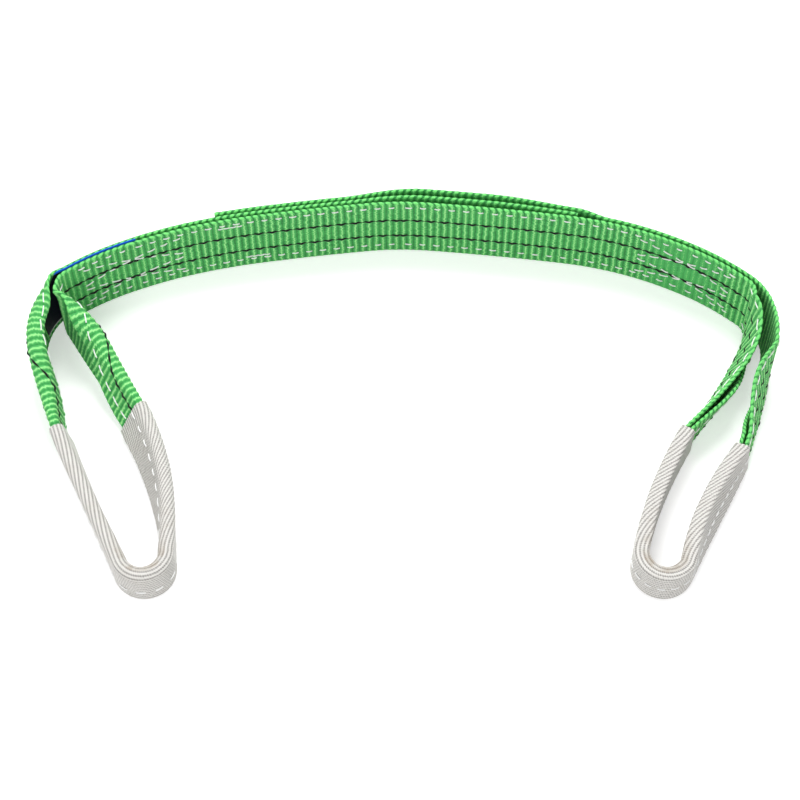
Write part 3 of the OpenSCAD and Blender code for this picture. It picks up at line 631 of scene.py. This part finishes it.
rowSet = {
    "upper": 54.9, "lower": 9.3, "pitch": 10.2, "stitch": 4.3, "stand": 1.62, "inset": 1.0, "probe": 0.8,
    "threadWidth": 0.95, "bow": 0.34, "sink": 0.22, "seed": 5,
    "blockTop": 51.9, "blockBottom": 12.3, "blockGap": 2.0, "blockTrim": 6.0,
    "blockStitch": 6.0, "blockStand": 1.75,
    "tackPitch": 4.6, "tackStitch": 4.1, "tackRun": 18.0,
    "legRow": 49.6, "legStitch": 7.2, "legFrom": 8.0, "legGap": 3.0, "throatGap": 2.0, "coveredGap": 3.0,
    "heavyPitch": 9.4, "heavyRun": 44.0, "heavyStand": 1.7,
}
threadSet = {"steps": 6, "handle": 0.3, "shortest": 0.8, "longest": 1.12, "sides": 7}
threadLook = {
    "threadWhite": {"base": (0.97, 0.97, 0.96), "dark": (0.84, 0.85, 0.84), "turns": 420.0},
    "tracerBlack": {"base": (0.008, 0.009, 0.009), "dark": (0.002, 0.003, 0.003), "turns": 500.0},
    "twist": 0.7, "fuzz": 0.3, "fuzzScale": 900.0, "distortion": 1.5,
    "bump": (0.6, 0.0002), "rough": (0.5, 0.2), "gloss": {"Specular IOR Level": 0.25},
}


def makeThread(name):
    c, own = threadLook, threadLook[name]
    made, net = newMaterial(name)
    spot = net.node("ShaderNodeTexCoord", out="Object")
    lines = net.node("ShaderNodeTexWave", {"wave_type": "BANDS", "bands_direction": "DIAGONAL"}, {
        "Vector": spot, "Scale": own["turns"], "Distortion": c["distortion"], "Detail": 1.0}, out="Fac")
    fuzz = net.noise(spot, c["fuzzScale"], 2.0)
    color = net.mix(lines * c["twist"] + fuzz * c["fuzz"], own["dark"], own["base"])
    dress(net, c, color, fuzz, lines)
    return made


def makeStitchTree():  # one bowed stitch of thread at each point
    c = threadSet
    tree = Tree("stitchRow", "Thread Width", "Bow", "Sink", "Seed")
    bow, end = tree.given("Bow"), 0 - tree.given("Sink")
    line = tree.node("GeometryNodeCurvePrimitiveBezierSegment", {"mode": "POSITION"}, {
        "Resolution": c["steps"], "Start": tree.triple(-0.5, 0.0, end), "End": tree.triple(0.5, 0.0, end),
        "Start Handle": tree.triple(-c["handle"], 0.0, bow),
        "End Handle": tree.triple(c["handle"], 0.0, bow)})
    chance = tree.node("FunctionNodeRandomValue", {"data_type": "FLOAT"},
                       {2: c["shortest"], 3: c["longest"], "Seed": tree.given("Seed")}, out=1)
    turned = tree.node("FunctionNodeAxesToRotation", {"primary_axis": "X", "secondary_axis": "Z"}, {
        0: tree.named("stitchAlong", "FLOAT_VECTOR"), 1: tree.named("stitchUp", "FLOAT_VECTOR")})
    size = tree.triple(tree.named("stitchLen") * chance, 1.0, 1.0)
    placed = tree.node("GeometryNodeInstanceOnPoints", None,
                       {"Points": tree.start, "Instance": line, "Rotation": turned, "Scale": size})
    real = tree.node("GeometryNodeRealizeInstances", None, {0: placed})
    return tree.close(tree.tube(real, c["sides"], tree.given("Thread Width") * 0.5))


def rowPoints(rail, along, w, d):  # place, direction and outward of a row's points
    step = rowSet["probe"]

    def spot(q, v, out):
        return webPoints(railAt(rail, q), v[:, None], np.full((len(q), 1), out))[:, 0]
    here = spot(along, w, d)
    up = unit(spot(along, w, d + 1) - here)
    slope = np.gradient(w) / np.maximum(np.gradient(along), tiny)
    run = unit(spot(along + step, w + step * slope, d) - spot(along - step, w - step * slope, d))
    return here, run, up


def addRow(bag, rail, a0, a1, w0, w1=None, pitch=rowSet["pitch"], stitch=rowSet["stitch"],
           stand=rowSet["stand"]):
    w1 = w0 if w1 is None else w1
    n = max(2, int(round(math.hypot(a1 - a0, w1 - w0) / pitch)))
    t = (np.arange(n) + 0.5) / n
    bag.append((*rowPoints(rail, a0 + (a1 - a0) * t, w0 + (w1 - w0) * t, stand), np.full(n, stitch)))


def makeStitches(name, bag, seed, width):
    here, run, up, length = (join([b[k] for b in bag]) for k in range(4))
    obj = bareMesh(name, here, [], [], {"stitchAlong": run, "stitchUp": up, "stitchLen": length * mm})
    settle(obj, stitchTree, {
        "Thread Width": width * mm, "Bow": rowSet["bow"] * mm, "Sink": rowSet["sink"] * mm, "Seed": seed,
        "Material": threadWhite})
    print("stitches", name, len(here))
    return obj


tracerSet = {
    "rows": (20.7, 39.3), "width": 1.3, "sides": 7, "perRib": 7, "leastPoints": 8, "inset": 0.2,
    "stand": 0.2, "follow": 0.8, "rise": 0.3, "riseFrom": 0.3, "thin": 0.42, "swell": 0.85,
    "intoSleeve": 6.0, "legSink": {"left": 0.2, "right": 0.45},
}


def makeYarnTree():  # a yarn that swells and thins along its line
    tree = Tree("tracerYarn", "Yarn Width")
    line = tree.node("GeometryNodeMeshToCurve", None, {"Mesh": tree.start})
    wide = tree.named("swell") * tree.given("Yarn Width")
    return tree.close(tree.tube(line, tracerSet["sides"], 0.5, wide))


def makeTracers(name, rows, sink):  # rows of (rail, from, to, across)
    c = tracerSet
    points, swells, edges = [], [], []
    for rail, a0, a1, w in rows:
        n = max(c["leastPoints"], int((a1 - a0) / webSet["ribPitch"] * c["perRib"]))
        along = np.linspace(a0, a1, n)
        phase, leg = (np.interp(along, rail["along"], rail[k]) for k in ("ribs", "leg"))
        over = 0.5 - 0.5 * np.cos(math.pi * (phase + 0.5))  # high over every second rib
        crest = 0.5 - 0.5 * np.cos(tau * phase)
        here, run, up = rowPoints(rail, along, np.full(n, w), 0.0)
        d = (webSet["core"] + c["stand"] + webSet["ribHeight"] * crest * c["follow"]
             + c["rise"] * (over - c["riseFrom"]) - sink * leg)
        first = sum(len(p) for p in points)
        points.append(here + up * d[:, None])
        swells.append(c["thin"] + c["swell"] * over)
        edges += [(first + i, first + i + 1) for i in range(n - 1)]
    obj = bareMesh(name, join(points), edges, [], {"swell": join(swells)})
    settle(obj, yarnTree, {"Yarn Width": c["width"] * mm, "Material": tracerBlack})
    print("tracers", name, len(rows), "rows")
    return obj


sleeveSet = {
    "height": 33.85, "corner": 1.8, "wall": 1.3, "ease": 0.25, "floorGap": 0.12, "footRise": 3.0,
    "ribPitch": 2.7, "ribHeight": 0.55, "ribPower": 0.8, "columns": 160, "ringStep": 1.1,
    "sag": 0.9, "sagScale": 38.0, "sagSeed": 3, "soilRun": 30.0,
    "slant": {"left": (34.0, 14.0), "right": (32.0, 30.0)},  # degrees on the inner and the outer leg
    "slantPower": 0.8, "leastSlant": 3.0,
    "seam": {"left": (0.36, 10.2, 6.2), "right": (0.56, 7.6, 5.2)},  # share of the height, pitch and stitch
    "innerSeam": (0.70, 10.2, 6.2), "seamInset": 4.0, "seamStand": 0.6, "seamWidth": 1.0, "seamSeed": 11,
}
sleeveLook = {
    # the groove colour is painted shade
    "rib": (0.68, 0.665, 0.635), "groove": (0.27, 0.26, 0.245), "dirt": (0.30, 0.235, 0.16), "weft": 1.5,
    "fleckAcross": 1.7, "fleckAlong": 0.9, "patch": 0.12, "tones": (0.7, 0.4, 0.8), "ribSpan": (0.12, 0.72),
    "soilSpan": (0.3, 0.65), "soilMost": 0.55, "dustSpan": (0.5, 0.8), "dustMost": 0.14,
    "heights": (0.5, 0.4), "bump": (0.5, 0.0004), "rough": (0.68, 0.2),
    "gloss": {"Sheen Weight": 0.2, "Specular IOR Level": 0.3},
}


def makeSleeveGrey():
    c = sleeveLook
    made, net = newMaterial("sleeveGrey")
    phase, along = net.attribute("ribTurn"), net.attribute("clothAlong")
    weft = net.maths("SINE", along * (tau / c["weft"]) + phase * math.pi) * 0.5 + 0.5
    place = net.triple(phase * c["fleckAcross"], along * c["fleckAlong"], 0.0)
    fleck, patch = net.noise(place, 1.0, 3.0), net.noise(place, c["patch"], 3.0)
    ribTone, weftTone, fleckTone = c["tones"]
    lit = net.hump(phase) * ribTone + weft * weftTone + (fleck - 0.5) * fleckTone
    # painted shade: the grooves between the sleeve's ribs are painted dark
    clean = net.mix(net.span(lit, c["ribSpan"]), c["groove"], c["rib"])
    soil = net.attribute("soil") * net.span(patch, c["soilSpan"]) * c["soilMost"]
    color = net.mix(soil + net.span(patch, c["dustSpan"]) * c["dustMost"], clean, c["dirt"])
    dress(net, c, color, fleck, weft * c["heights"][0] + fleck * c["heights"][1])
    return made


def makeSleeveTree():  # slanting ribs of the sleeve cloth, a little slack
    tree = Tree("sleeveRibs", "Rib Height", "Sag", "Sag Scale", "Seed")
    crest = tree.hump(tree.named("clothRib")) ** sleeveSet["ribPower"]
    slack = tree.node("ShaderNodeTexNoise", {"noise_dimensions": "4D"}, {
        "Vector": tree.node("GeometryNodeInputPosition"), "W": tree.given("Seed"),
        "Scale": tree.given("Sag Scale")})
    lift = crest * tree.given("Rib Height") + (slack - 0.5) * tree.given("Sag")
    return tree.close(tree.moveOut(lift * tree.named("ribPress")))


def sleeveLoop(flip):  # outline round the folded web, even steps
    s, middle = sleeveSet, eyeCommon["bendR"]
    r, k, h = eyeCommon["sleeveHalf"] - s["ease"], s["corner"], s["height"]

    def arc(x, z, radius, degrees):
        return [(x + radius * math.cos(a), z + radius * math.sin(a)) for a in np.radians(degrees)]
    line = (arc(middle - r + k, s["floorGap"] + k, k, range(180, 271, 10))
            + arc(middle + r - k, s["floorGap"] + k, k, range(270, 361, 10))
            + arc(middle, h - eyeCommon["sleeveHalf"], r, range(0, 181, 6)))
    line = np.array(line + line[:1])
    run = polyLength(line)
    even = np.linspace(0, run[-1], s["columns"] + 1)[:-1]
    loop = np.stack([np.interp(even, run, line[:, 0]), np.interp(even, run, line[:, 1])], 1)
    if flip:
        loop[:, 1] = h - loop[:, 1]
    return loop, run[-1]


def storeTurns(obj, phase, ribs):  # rib count by face corner, so it runs on past the seam
    data = obj.data
    corners = np.zeros(len(data.loops), int)
    data.loops.foreach_get("vertex_index", corners)
    turn = phase[corners].reshape(-1, 4)
    turn = turn + ribs * (turn < turn.max(1, keepdims=True) - ribs / 2)
    made = data.attributes.new("ribTurn", "FLOAT", "CORNER")
    made.data.foreach_set("value", turn.astype(np.float32).ravel())


def makeSleeve(name, rail, slants):
    s = sleeveSet
    loop, girth = sleeveLoop(rail["flip"])
    a0, a1, a2, a3 = rail["sleeve"]
    rings, m = int((a3 - a0) / s["ringStep"]), s["columns"]
    along = np.linspace(a0, a3, rings)
    outer = placeSection(railAt(rail, along), *(loop[None, :, k] + np.zeros((rings, 1)) for k in (0, 1)))
    outward = gridOutward(outer)
    inner = outer - outward * s["wall"]
    ribs = round(girth / s["ribPitch"])
    legs = np.clip((along - a0) / (a1 - a0), 0, 1), np.clip((a3 - along) / (a3 - a2), 0, 1)
    slope = [slant * np.sin(math.pi * leg) ** s["slantPower"] for slant, leg in zip(slants, legs)]
    angle = np.radians(slope[0] + slope[1] + s["leastSlant"])
    twist = join([[0], np.cumsum(np.tan(angle[1:]) * np.diff(along))])
    phase = np.linspace(0, ribs, m, endpoint=False)[None, :] + (twist / (girth / ribs))[:, None]
    byCrown = np.exp(-((along - (a1 + a2) / 2) / s["soilRun"]) ** 2)
    soil = byCrown[:, None] * (loop[None, :, 0] > eyeCommon["bendR"])
    free = smooth(outer[:, :, 2] / s["footRise"])  # the foot lies flat on the floor
    count = rings * m
    sides, j = gridFaces(rings, m), np.arange(m)
    k = (j + 1) % m
    rim = np.stack([j, count + j, count + k, k], -1)
    faces = join([sides, sides[:, ::-1] + count, rim, rim[:, ::-1] + (rings - 1) * m])

    def twice(v):  # the same value on the outer and the inner wall
        return join([np.broadcast_to(v, (rings, m)).ravel()] * 2)
    obj = clothMesh(name, join([outer.reshape(-1, 3), inner.reshape(-1, 3)]), faces, {
        "clothRib": twice(phase), "clothAlong": twice(along[:, None]), "soil": twice(soil),
        "ribPress": join([free.ravel(), np.zeros(count)]),
        "outward": join([outward.reshape(-1, 3)] * 2)})
    storeTurns(obj, twice(phase), ribs)
    settle(obj, sleeveTree, {
        "Rib Height": s["ribHeight"] * mm, "Sag": s["sag"] * mm, "Sag Scale": s["sagScale"],
        "Seed": s["sagSeed"], "Material": sleeveGrey})
    print("sleeve", name, ribs, "ribs", len(obj.data.polygons), "faces")
    return obj, (girth, a3 - a0)


def sleeveRow(bag, rail, a0, a1, seam, side):  # stitches along a wall, side -1 on the outside and 1 within
    s = sleeveSet
    share, pitch, stitch = seam
    n = int((a1 - a0) / pitch)
    along = np.linspace(a0 + s["seamInset"], a1 - s["seamInset"], n)
    u = eyeCommon["bendR"] + side * (eyeCommon["sleeveHalf"] - s["ease"] + s["seamStand"])

    z = np.full((n, 1), s["height"] * share)

    def spot(q, out=0.0):
        return placeSection(railAt(rail, q), np.full((n, 1), u + out), z)[:, 0]
    here = spot(along)
    run = unit(spot(along + 1) - spot(along - 1))
    bag.append((here, run, unit(spot(along, side) - here), np.full(n, stitch)))


labelSet = {
    "length": 50.0, "past": 34.0, "height": 54.0, "rise": 0.7, "drop": 19.0, "dropFrom": 8.0, "dropRun": 22.0,
    "thick": 0.45, "columns": 24, "rings": 64,
}
labelLook = {
    "blue": (0.010, 0.120, 0.74), "navy": (0.003, 0.004, 0.012), "white": (0.72, 0.72, 0.70),
    "blueSpan": (51.5, 52.3), "hemSpan": (1.1, 1.4), "weave": 700.0,
    "bump": (0.3, 0.0001), "rough": (0.55, 0.15), "gloss": {"Specular IOR Level": 0.2},
}


def makeLabelBlue():  # navy cloth, blue along the top, a pale lower hem
    c = labelLook
    made, net = newMaterial("labelBlue")
    up = net.attribute("labelUp")
    weave = net.noise(net.node("ShaderNodeTexCoord", out="Object"), c["weave"], 2.0)
    body = net.mix(net.span(up, c["blueSpan"]), c["navy"], c["blue"])
    color = net.mix(net.span(up, c["hemSpan"], 1.0, 0.0), body, c["white"])
    dress(net, c, color, weave, weave)
    return made


def makeLabel(rail):  # lies between the plies, then inside the outer leg
    c = labelSet
    q = np.linspace(-c["length"], c["past"], c["rings"])  # distance past the throat
    at = railAt(rail, rail["throatOut"] - np.maximum(q, 0))
    x, y, h = walkArcs(lay["leftArcs"], lay["leftThroat"] + np.minimum(q, 0))
    sewn = q < 0
    at["x"] = np.where(sewn, -x - lay["plyPitch"] * np.sin(h), at["x"])
    at["y"] = np.where(sewn, y + lay["plyPitch"] * np.cos(h), at["y"])
    at["ux"], at["uy"] = np.where(sewn, np.sin(h), at["ux"]), np.where(sewn, -np.cos(h), at["uy"])
    top = lay["web"] + c["rise"] - c["drop"] * smooth((q - c["dropFrom"]) / c["dropRun"])
    low = lay["web"] + c["rise"] - c["height"]
    share, half = np.linspace(0, 1, c["columns"]), np.full(c["columns"], c["thick"] / 2)
    w = low + (top - low)[:, None] * join([share, share[::-1]])
    d = join([half, -half]) - lay["plyPitch"] / 2
    grid = webPoints(at, w, np.broadcast_to(d, w.shape))
    obj = clothMesh("idLabel", grid.reshape(-1, 3), cappedFaces(*w.shape), {"labelUp": (w - low).ravel()})
    obj.data.materials.append(labelBlue)
    print("label made")
    return obj


webGreen, sleeveGrey, labelBlue = makeWebGreen(), makeSleeveGrey(), makeLabelBlue()
threadWhite, tracerBlack = makeThread("threadWhite"), makeThread("tracerBlack")
ribTree, sleeveTree, stitchTree, yarnTree = makeRibTree(), makeSleeveTree(), makeStitchTree(), makeYarnTree()
print("materials and node trees made")

rails = {name: eyeRail(name) for name in eyes}
bodyRails = {
    "leftFront": bodyRail("front", -lay["leftSplit"], 0.0),
    "rightFront": bodyRail("front", 0.0, lay["rightSplit"]),
    "leftTail": bodyRail("leftTail", -lay["leftSplit"], lay["leftTailEnd"]),
    "rightTail": bodyRail("rightTail", lay["rightTailEnd"], lay["rightSplit"]),
}
webs, sleeves = {}, {}
for name, rail in rails.items():
    webs[name + "EyeWeb"] = makeWeb(name + "EyeWeb", rail, webSet["eyeSteps"])
for name, rail in bodyRails.items():
    webs[name + "Web"] = makeWeb(name + "Web", rail, webSet["bodySteps"])
for name, rail in rails.items():
    sleeves[name] = makeSleeve(name + "WearSleeve", rail, sleeveSet["slant"][name])


def bodyAlong(key, s):  # distance along a body rail at s
    return float(np.interp(s, bodyRails[key]["s"], bodyRails[key]["along"]))


def blockSlants(name):  # a block's ends and its slanting rows: heights near, at the split, at the throat
    c, middle = rowSet, lay["web"] / 2
    near, far = lay[name + "Bend"] + c["blockTrim"], lay[name + "Throat"] - c["blockTrim"]
    share = (lay[name + "Split"] - near) / (far - near)
    top, bottom, high, low = c["blockTop"], c["blockBottom"], middle + c["blockGap"], middle - c["blockGap"]
    slants = ((top, high), (high, top), (low, bottom), (bottom, low))
    return near, far, [(z0, z0 + (z1 - z0) * share, z1) for z0, z1 in slants]


def eyeRows(name, bag, rows):
    c, rail, flip = rowSet, rails[name], eyes[name]["flip"]
    total, throatIn, throatOut = rail["along"][-1], rail["throatIn"], rail["throatOut"]
    mouthIn, mouthOut = rail["sleeve"][0], rail["sleeve"][3]
    near, far, slants = blockSlants(name)
    reach = far - lay[name + "Split"]
    sewn = {"stitch": c["blockStitch"], "stand": c["blockStand"]}

    def acrossWeb(z):
        return lay["web"] - z if flip else z
    for z0, cut, z1 in slants:
        addRow(bag, rail, 0, reach, acrossWeb(cut), acrossWeb(z1), **sewn)
        addRow(bag, rail, total - reach, total, acrossWeb(z1), acrossWeb(cut), **sewn)
    for z in (c["upper"], c["lower"]):
        w = acrossWeb(z)
        onFold = z == c["upper"] and not flip  # the row that runs over the fold
        legW, legEnd = (c["legRow"], c["heavyRun"] + c["throatGap"]) if onFold else (w, c["legGap"])
        addRow(bag, rail, c["inset"], throatIn - c["throatGap"], w)
        addRow(bag, rail, throatIn + c["legFrom"], mouthIn - c["inset"], legW, stitch=c["legStitch"])
        addRow(bag, rail, mouthOut + c["inset"], throatOut - legEnd, w, stitch=c["legStitch"])
        addRow(bag, rail, throatOut + c["throatGap"], total - c["inset"], w)
    if not flip:  # heavier stitches hold the outer leg beside the throat
        addRow(bag, rail, throatOut - c["heavyRun"], throatOut + c["throatGap"], c["upper"],
               pitch=c["heavyPitch"], stitch=c["legStitch"], stand=c["heavyStand"])
    inset, into = tracerSet["inset"], tracerSet["intoSleeve"]
    for w in tracerSet["rows"]:
        rows += [(rail, inset, mouthIn + into, w), (rail, mouthOut - into, total - inset, w)]


def bodyRows(name, bag, rows):
    c, side = rowSet, eyes[name]["side"]
    near, far, slants = blockSlants(name)
    for key in (name + "Front", name + "Tail"):
        rail = bodyRails[key]
        ends = sorted((bodyAlong(key, side * near), bodyAlong(key, side * lay[name + "Split"])))
        for z0, cut, z1 in slants:
            heights = (cut, z0) if side < 0 else (z0, cut)
            addRow(bag, rail, *ends, *heights, stitch=c["blockStitch"], stand=c["blockStand"])
        last = rail["along"][-1] - c["inset"]
        if key == "leftTail":
            # beyond this the right tail covers the row
            last = bodyAlong(key, lay["rightTailEnd"]) - c["coveredGap"]
        for z in (c["upper"], c["lower"]):
            addRow(bag, rail, c["inset"], last, z)
        start, end = tracerSet["inset"], last + c["inset"] - tracerSet["inset"]
        rows += [(rail, start, end, w) for w in tracerSet["rows"]]
    if name == "left":  # the lap's end is tacked through to the front
        lap, run = lay["rightTailEnd"], c["tackRun"]
        for s, z in ((lap, c["blockTop"]), (lap + run, c["blockBottom"])):
            addRow(bag, bodyRails["leftFront"], bodyAlong("leftFront", s), bodyAlong("leftFront", s + run), z,
                   pitch=c["tackPitch"], stitch=c["tackStitch"])


stitchBags, tracerRows = {}, {}
for part, fill in (("Eye", eyeRows), ("Body", bodyRows)):
    for name in eyes:
        stitchBags[name + part], tracerRows[name + part] = [], []
        fill(name, stitchBags[name + part], tracerRows[name + part])
stitches = {key: makeStitches(key + "Stitches", bag, rowSet["seed"] + i, rowSet["threadWidth"])
            for i, (key, bag) in enumerate(stitchBags.items())}
tracers = {key: makeTracers(key + "Tracers", rows, tracerSet["legSink"]["left" if "left" in key else "right"])
           for key, rows in tracerRows.items()}
sleeveStitches = {}
for name, rail in rails.items():
    bag = []
    sleeveRow(bag, rail, rail["sleeve"][0], rail["sleeve"][3], sleeveSet["seam"][name], -1)
    if name == "left":
        sleeveRow(bag, rail, rail["sleeve"][0], rail["sleeve"][1], sleeveSet["innerSeam"], 1)
    sleeveStitches[name] = makeStitches(name + "SleeveStitches", bag, sleeveSet["seamSeed"],
                                        sleeveSet["seamWidth"])
label = makeLabel(rails["left"])

blendSet = {"Eye": (-10.0, 4.5), "Body": (-18.0, 18.0)}  # how far a bend's start and end lie from its hinge; the points are worked out but nothing is bent


def bodySpot(name, s, ahead):  # a point between the plies, in metres
    x, y, h = (float(v) for v in walkArcs(lay[name + "Arcs"], s))
    off = lay["plyPitch"] / 2
    return Vector((eyes[name]["side"] * (x + off * math.sin(h) + ahead * math.cos(h)),
                   y + off * math.cos(h) - ahead * math.sin(h), lay["web"] / 2)) * mm


def bendIn(obj, name, part, slot, *nodes):
    if part == "Eye":
        first, second, at = name + "_block", name + "_eye", lay[name + "Throat"]
    else:
        first, second, at = "mid_body", name + "_block", lay[name + "Bend"]
    start, end = (bodySpot(name, at, ahead) for ahead in blendSet[part])
    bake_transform(obj)
    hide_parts(*nodes)


def rideIn(obj, name, node):
    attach(obj, name + "_eye")
    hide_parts(name + node)


for name in eyes:
    own = name + "_"
    web, run = webs[name + "EyeWeb"]
    bendIn(web, name, "Eye", "web",
           *(own + n for n in ("inner_leg", "outer_leg", "eye_crown", "front_ply", "back_ply")))
    run * mm
    for part, node in (("FrontWeb", "front_ply_middle"), ("TailWeb", own + "tail_middle")):
        web, run = webs[name + part]
        bendIn(web, name, "Body", "web", node)
        run * mm
    bendIn(stitches[name + "Eye"], name, "Eye", "thread",
           *(own + n for n in ("leg_seams", "w_seam", "edge_seams")))
    bendIn(tracers[name + "Eye"], name, "Eye", "tracer", own + "leg_tracers", own + "tracers")
    bendIn(tracers[name + "Body"], name, "Body", "tracer", "upper_tracer", "lower_tracer")
    sleeve, (girth, run) = sleeves[name]
    rideIn(sleeve, name, "_wear_sleeve")
    girth * mm
    run * mm
    name + "EyeWeb"
    rideIn(sleeveStitches[name], name, "_sleeve_seam")
bendIn(stitches["leftBody"], "left", "Body", "thread", "upper_edge_seam", "lower_edge_seam", "lap_end_tacks")
bendIn(stitches["rightBody"], "right", "Body", "thread", "upper_edge_seam", "lower_edge_seam")
bendIn(label, "left", "Eye", "label", "id_label")

stageSet = {
    "floor": 3.0, "floorColor": (0.82, 0.82, 0.82), "floorGlow": 0.42, "ambient": 0.55,
    "key": {"place": (0.05, 0.75, 1.7), "aim": (0, -0.12, 0), "size": 0.9, "power": 28.0},
    "fill": {"place": (-0.4, -1.4, 1.2), "aim": (0, -0.12, 0.02), "size": 1.3, "power": 13.0},
}
viewSet = {"place": (0, -0.8777, 1.2990), "aim": (0, -0.127675, 0), "lens": 95.85, "sensor": 36.0}


def seenRays(net):  # 1 for what the camera, a gloss or a clear thing sees
    ray = net.node("ShaderNodeLightPath", out="Is Camera Ray")
    plain = net.maths("MAXIMUM", ray, ray.other("Is Glossy Ray"))
    return net.maths("MAXIMUM", plain, ray.other("Is Transmission Ray"))


def makeFloor():
    half = stageSet["floor"] / 2 / mm
    corners = np.array([(-half, -half, 0), (half, -half, 0), (half, half, 0), (-half, half, 0)])
    floor = bareMesh("floor", corners, [], [(0, 1, 2, 3)], {})
    made, net = newMaterial("floorWhite")
    matte = net.node("ShaderNodeBsdfDiffuse", None, {"Color": (*stageSet["floorColor"], 1)})
    glow = net.node("ShaderNodeEmission", None,
                    {"Color": (1, 1, 1, 1), "Strength": seenRays(net) * stageSet["floorGlow"]})
    surface = net.node("ShaderNodeAddShader", None, {0: matte, 1: glow})
    net.tree.nodes.remove(net.tree.nodes["Principled BSDF"])
    net.tree.links.new(surface.socket, net.tree.nodes["Material Output"].inputs["Surface"])
    floor.data.materials.append(made)


def aimAt(obj, place, aim):
    obj.location = place
    obj.rotation_euler = (Vector(aim) - Vector(place)).to_track_quat("-Z", "Y").to_euler()


def makeLamp(name):
    c = stageSet[name]
    lamp = bpy.data.lights.new(name, "AREA")
    lamp.shape, lamp.size, lamp.energy = "DISK", c["size"], c["power"]
    aimAt(addObject(name, lamp), c["place"], c["aim"])


def makeWorld():
    world = bpy.data.worlds.new("studio")
    world.use_nodes = True
    net = Net(world.node_tree)
    ground = net.tree.nodes["Background"]
    ground.inputs["Color"].default_value = (1, 1, 1, 1)
    strength = stageSet["ambient"] + seenRays(net) * (1 - stageSet["ambient"])
    net.tree.links.new(strength.socket, ground.inputs["Strength"])
    bpy.context.scene.world = world


makeFloor()
makeLamp("key")
makeLamp("fill")
makeWorld()
camera = addObject("camera", bpy.data.cameras.new("camera"))
camera.data.lens, camera.data.sensor_width = viewSet["lens"], viewSet["sensor"]
aimAt(camera, viewSet["place"], viewSet["aim"])
bpy.context.scene.camera = camera
bpy.context.scene.view_settings.view_transform = "Standard"
print("stage, lamps and camera set")
